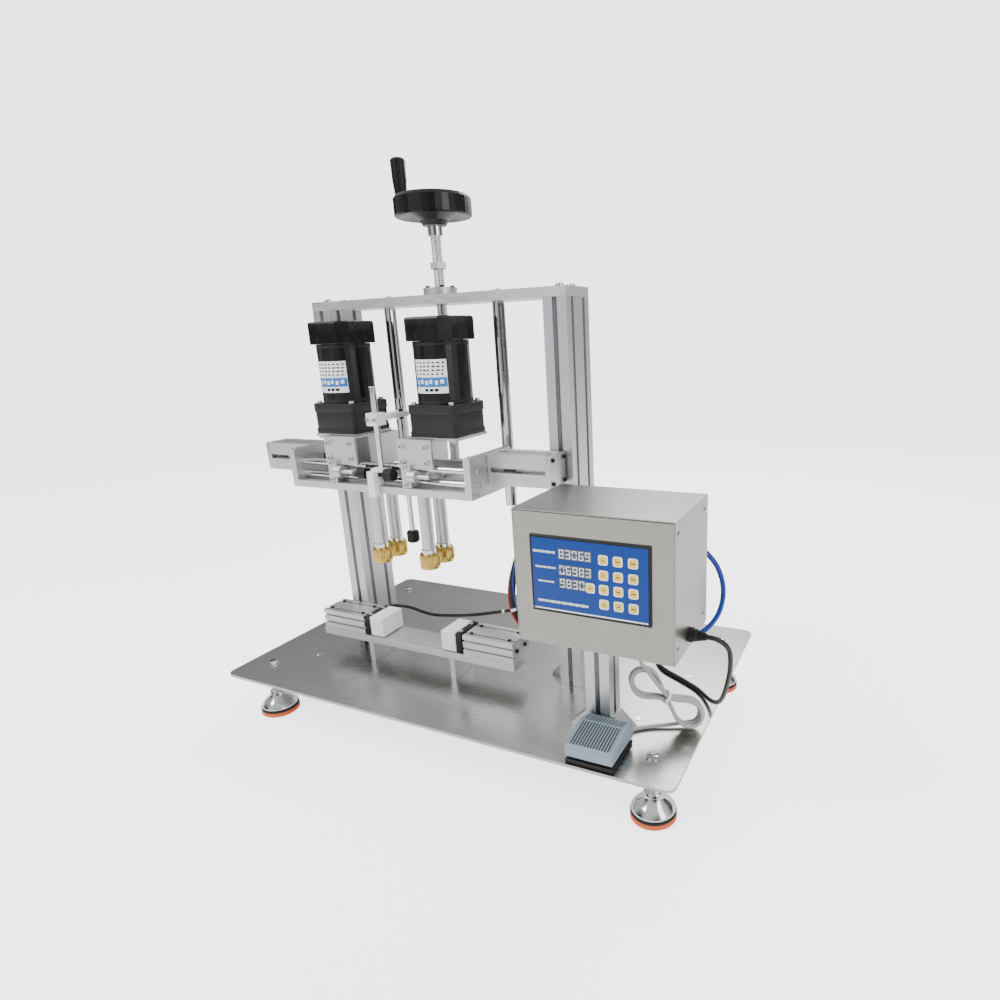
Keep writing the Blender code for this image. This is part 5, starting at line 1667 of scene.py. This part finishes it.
@dataclass
class BottleClamp:
    """The clamp table with its twin-rod cylinders, black jaw plates and white pads."""

    def build(self) -> None:
        """Dress the clamp and make its grooved cylinder bodies."""
        dress(["clamp_table"], MILLED_ALLOY)
        for side, body, sign in (("left", Body.JAW_LEFT, -1), ("right", Body.JAW_RIGHT, 1)):
            dress([f"jaw_plate_{side}"], BLACK_GLOSS)
            dress([f"jaw_pad_{side}"], PAD_WHITE)
            low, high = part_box(f"clamp_cylinder_{side}")
            wide, tall = high.y - low.y, high.z - low.z
            flat = grooved_outline(wide, tall, (-0.017, 0.017), (tall * 0.32, tall * 0.72))
            across = flat[:, 0] + (low.y + high.y) / 2
            rings = [
                np.column_stack([np.full(len(flat), x), across, flat[:, 1] + low.z]) for x in (low.x, high.x)
            ]
            made = piece(f"clamp_barrel_{side}", lofted(np.array(rings)), CYLINDER_ALLOY, Body.FRAME, 25)
            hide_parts(f"clamp_cylinder_{side}")
            outer = low.x if sign < 0 else high.x
            axis = Axis.LEFT if sign < 0 else Axis.RIGHT
            heads = []
            for y in (low.y + 0.012, high.y - 0.012):
                for along in (0.012, high.x - low.x - 0.012):
                    heads.append(cap_screw(0.0034, 0.0018).moved((low.x + along, y, high.z)))
            for y in (low.y + 0.014, high.y - 0.014):
                heads.append(cap_screw(0.0038, 0.0022).moved((outer, y, (low.z + high.z) / 2), axis))
            piece(f"barrel_screws_{side}", joined(heads), BLACK_MATT, Body.FRAME)
            pad_low, pad_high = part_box(f"jaw_pad_{side}")
            plate_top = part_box(f"jaw_plate_{side}")[1].z
            x = (pad_low.x if sign < 0 else pad_high.x) + sign * 0.006
            spots = (pad_low.y + 0.012, pad_high.y - 0.012)
            bolts = [cap_screw(0.0034, 0.0022).moved((x, y, plate_top)) for y in spots]
            piece(f"jaw_bolts_{side}", joined(bolts), TURNED_STEEL, body)


@dataclass
class Pedal:
    """The foot pedal: black base and a grey treadle with raised ribs and dark slots between them."""

    slots: int = 14
    side_margin: float = 0.0065
    end_margin: float = 0.0045
    ridge: float = -0.207
    cord_at: tuple[float, float] = (0.335, 0.1040)

    def build(self) -> None:
        """Dress the pedal and add its ribs, slots, pin and cord relief."""
        dress(["pedal_base"], BLACK_MATT)
        dress(["treadle"], PEDAL_PAINT)
        low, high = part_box("treadle")
        zones = (
            (low.y + self.end_margin, self.ridge - self.end_margin / 2),
            (self.ridge + self.end_margin / 2, high.y - self.end_margin),
        )
        pitch = (high.x - low.x - 2 * self.side_margin) / self.slots
        ribs = []
        slots = []
        for start, end in zones:
            for k in range(self.slots + 1):
                x = low.x + self.side_margin + k * pitch
                ribs.append(self.bar(x, start, end, pitch * 0.26, 0.0011))
            for k in range(self.slots):
                x = low.x + self.side_margin + (k + 0.5) * pitch
                slots.append(self.bar(x, start, end, pitch * 0.24, 0.0002))
        piece("treadle_ribs", joined(ribs), PEDAL_PAINT, Body.PEDAL)
        piece("treadle_slots", joined(slots), BLACK_MATT, Body.PEDAL)
        heads = []
        for x, axis in ((low.x, Axis.LEFT), (high.x, Axis.RIGHT)):
            heads.append(cap_screw(0.0030, 0.0012).moved((x, high.y - 0.006, low.z + 0.006), axis))
        piece("treadle_pins", joined(heads), TURNED_STEEL, Body.PEDAL)
        sleeve = [(0.0, 0.0), (0.0058, 0.0), (0.0052, 0.010), (0.0038, 0.0145), (0.0, 0.0145)]
        x, z = self.cord_at
        place = (x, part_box("pedal_base")[1].y - 0.0002, z)
        piece("pedal_relief", turned(sleeve, 20).moved(place, Axis.BACK), BLACK_MATT, Body.FRAME)

    def bar(self, x: float, start: float, end: float, half: float, proud: float) -> Surface:
        """Make one straight bar that follows the treadle's top, which is probed from above.

        Args:
            x: Place across the treadle.
            start: Where the bar starts along Y.
            end: Where it ends.
            half: Half its width.
            proud: Its height over the surface.

        Returns:
            The closed surface.
        """
        treadle = bpy.data.objects["treadle"]
        rings = []
        for y in np.linspace(end, start, 5):
            level = treadle.ray_cast(Vector((x, y, 1.0)), Vector((0, 0, -1)))[1].z
            ring = [(-half, -0.0012), (half, -0.0012), (half * 0.75, proud), (-half * 0.75, proud)]
            rings.append([(x + across, y, level + up) for across, up in ring])
        return lofted(np.array(rings))


@dataclass
class Studio:
    """The floor, the surroundings, the lights and the camera."""

    eye: Point = (0.6652, -0.98658, 0.69812)
    yaw: float = -25.69
    pitch: float = -15.93
    roll: float = -2.12
    lens: float = 23.74
    shift: tuple[float, float] = (-0.0815, 0.0201)
    backdrop: float = 3.2
    floor_half: float = 6.0
    floor_glow: tuple[float, float] = (0.5, 2.3)
    panels: tuple[tuple[float, float], ...] = (
        (0.0, 0.8),
        (0.12, 0.04),
        (0.20, 1.0),
        (0.36, 0.05),
        (0.47, 1.3),
        (0.62, 0.10),
        (0.74, 1.2),
        (0.90, 0.03),
    )

    def build(self) -> None:
        """Make the floor, the surroundings, the lights and the camera."""
        self.floor()
        self.surroundings()
        self.light("key", (-1.3, -1.6, 2.4), (1.4, 1.4), 60)
        self.light("fill", (2.2, -0.9, 1.4), (1.0, 1.8), 22)
        self.light("rim", (0.2, 2.0, 1.9), (2.0, 1.2), 40)
        self.camera()

    def floor(self) -> None:
        """Make a wide pale floor that glows a little, so that it is as pale as the backdrop."""
        half = self.floor_half
        mesh = bpy.data.meshes.new("floor")
        corners = [(-half, -half, 0), (half, -half, 0), (half, half, 0), (-half, half, 0)]
        mesh.from_pydata(corners, [], [(0, 1, 2, 3)])
        mesh.materials.append(FLOOR_PALE.material())
        tree = mesh.materials[0].node_tree
        shader = tree.nodes["Principled BSDF"]
        shader.inputs["Emission Color"].default_value = (1, 1, 1, 1)
        seen = tree.nodes.new("ShaderNodeLightPath")
        lift = tree.nodes.new("ShaderNodeMapRange")
        lift.inputs["To Min"].default_value = self.floor_glow[0]
        lift.inputs["To Max"].default_value = self.floor_glow[1]
        tree.links.new(seen.outputs["Is Camera Ray"], lift.inputs["Value"])
        tree.links.new(lift.outputs[0], shader.inputs["Emission Strength"])
        made = bpy.data.objects.new("floor", mesh)
        bpy.context.scene.collection.objects.link(made)

    def surroundings(self) -> None:
        """Make a pale backdrop that metal sees as bright panels with dark gaps, as in a studio."""
        world = bpy.data.worlds.new("studio")
        world.use_nodes = True
        tree = world.node_tree
        spot = tree.nodes.new("ShaderNodeTexCoord")
        turn = tree.nodes.new("ShaderNodeTexGradient")
        turn.gradient_type = "RADIAL"
        tree.links.new(spot.outputs["Generated"], turn.inputs[0])
        panels = tree.nodes.new("ShaderNodeValToRGB")
        panels.color_ramp.interpolation = "EASE"
        while len(panels.color_ramp.elements) < len(self.panels):
            panels.color_ramp.elements.new(0.5)
        for element, (place, value) in zip(panels.color_ramp.elements, self.panels):
            element.position = place
            element.color = (value, value, value * 1.02, 1)
        tree.links.new(turn.outputs["Fac"], panels.inputs[0])
        axes = tree.nodes.new("ShaderNodeSeparateXYZ")
        tree.links.new(spot.outputs["Generated"], axes.inputs[0])
        height = tree.nodes.new("ShaderNodeMapRange")
        height.inputs["From Min"].default_value = 0.25
        height.inputs["From Max"].default_value = 0.65
        tree.links.new(axes.outputs["Z"], height.inputs["Value"])
        above = tree.nodes.new("ShaderNodeMix")
        above.data_type = "RGBA"
        above.inputs[MIX_B].default_value = (1.0, 1.0, 1.0, 1)
        tree.links.new(height.outputs[0], above.inputs[0])
        tree.links.new(panels.outputs[0], above.inputs[MIX_A])
        seen = tree.nodes.new("ShaderNodeLightPath")
        chosen = tree.nodes.new("ShaderNodeMix")
        chosen.data_type = "RGBA"
        chosen.inputs[MIX_B].default_value = (*(self.backdrop,) * 3, 1)
        tree.links.new(seen.outputs["Is Camera Ray"], chosen.inputs[0])
        tree.links.new(above.outputs[MIX_RESULT], chosen.inputs[MIX_A])
        tree.links.new(chosen.outputs[MIX_RESULT], tree.nodes["Background"].inputs["Color"])
        bpy.context.scene.world = world

    def light(self, name: str, place: Point, size: tuple[float, float], power: float) -> None:
        """Make one area light that looks at the machine's middle.

        Args:
            name: Its name.
            place: Where it is.
            size: Its width and height.
            power: Its power in watts.
        """
        data = bpy.data.lights.new(name, "AREA")
        data.shape = "RECTANGLE"
        data.size, data.size_y = size
        data.energy = power
        lamp = bpy.data.objects.new(name, data)
        lamp.location = place
        lamp.rotation_euler = (Vector((0, 0, 0.4)) - Vector(place)).to_track_quat("-Z", "Y").to_euler()
        bpy.context.scene.collection.objects.link(lamp)

    def camera(self) -> None:
        """Make the camera from its heading, tilt and roll."""
        yaw, pitch, roll = (math.radians(a) for a in (self.yaw, self.pitch, self.roll))
        ahead = Vector((math.sin(yaw) * math.cos(pitch), math.cos(yaw) * math.cos(pitch), math.sin(pitch)))
        level = Vector((math.cos(yaw), -math.sin(yaw), 0))
        upright = level.cross(ahead)
        right = level * math.cos(roll) + upright * math.sin(roll)
        up = upright * math.cos(roll) - level * math.sin(roll)
        data = bpy.data.cameras.new("camera")
        data.lens = self.lens
        data.sensor_width = 36
        data.shift_x, data.shift_y = self.shift
        data.clip_start = 0.01
        made = bpy.data.objects.new("camera", data)
        turn = Matrix((right, up, -ahead)).transposed().to_4x4()
        made.matrix_world = Matrix.Translation(Vector(self.eye)) @ turn
        bpy.context.scene.collection.objects.link(made)
        bpy.context.scene.camera = made


def main() -> None:
    """Build the studio and every sub-assembly in order."""
    logging.basicConfig(level=logging.INFO, format="%(message)s")
    Studio().build()
    Cords().build()
    ColumnFrame().build()
    LiftScrew().build()
    Carriage().build()
    for side, body in (("left", Body.HEAD_LEFT), ("right", Body.HEAD_RIGHT)):
        MotorHead(side, body).build()
        for place in ("front", "rear"):
            Spindle(f"spindle_{side}_{place}").build()
    BottleClamp().build()
    ControlBox().build()
    Pedal().build()
    for place in ("front_left", "front_right", "rear_left", "rear_right"):
        Foot(f"foot_{place}").build()


if __name__ == "__main__":
    main()
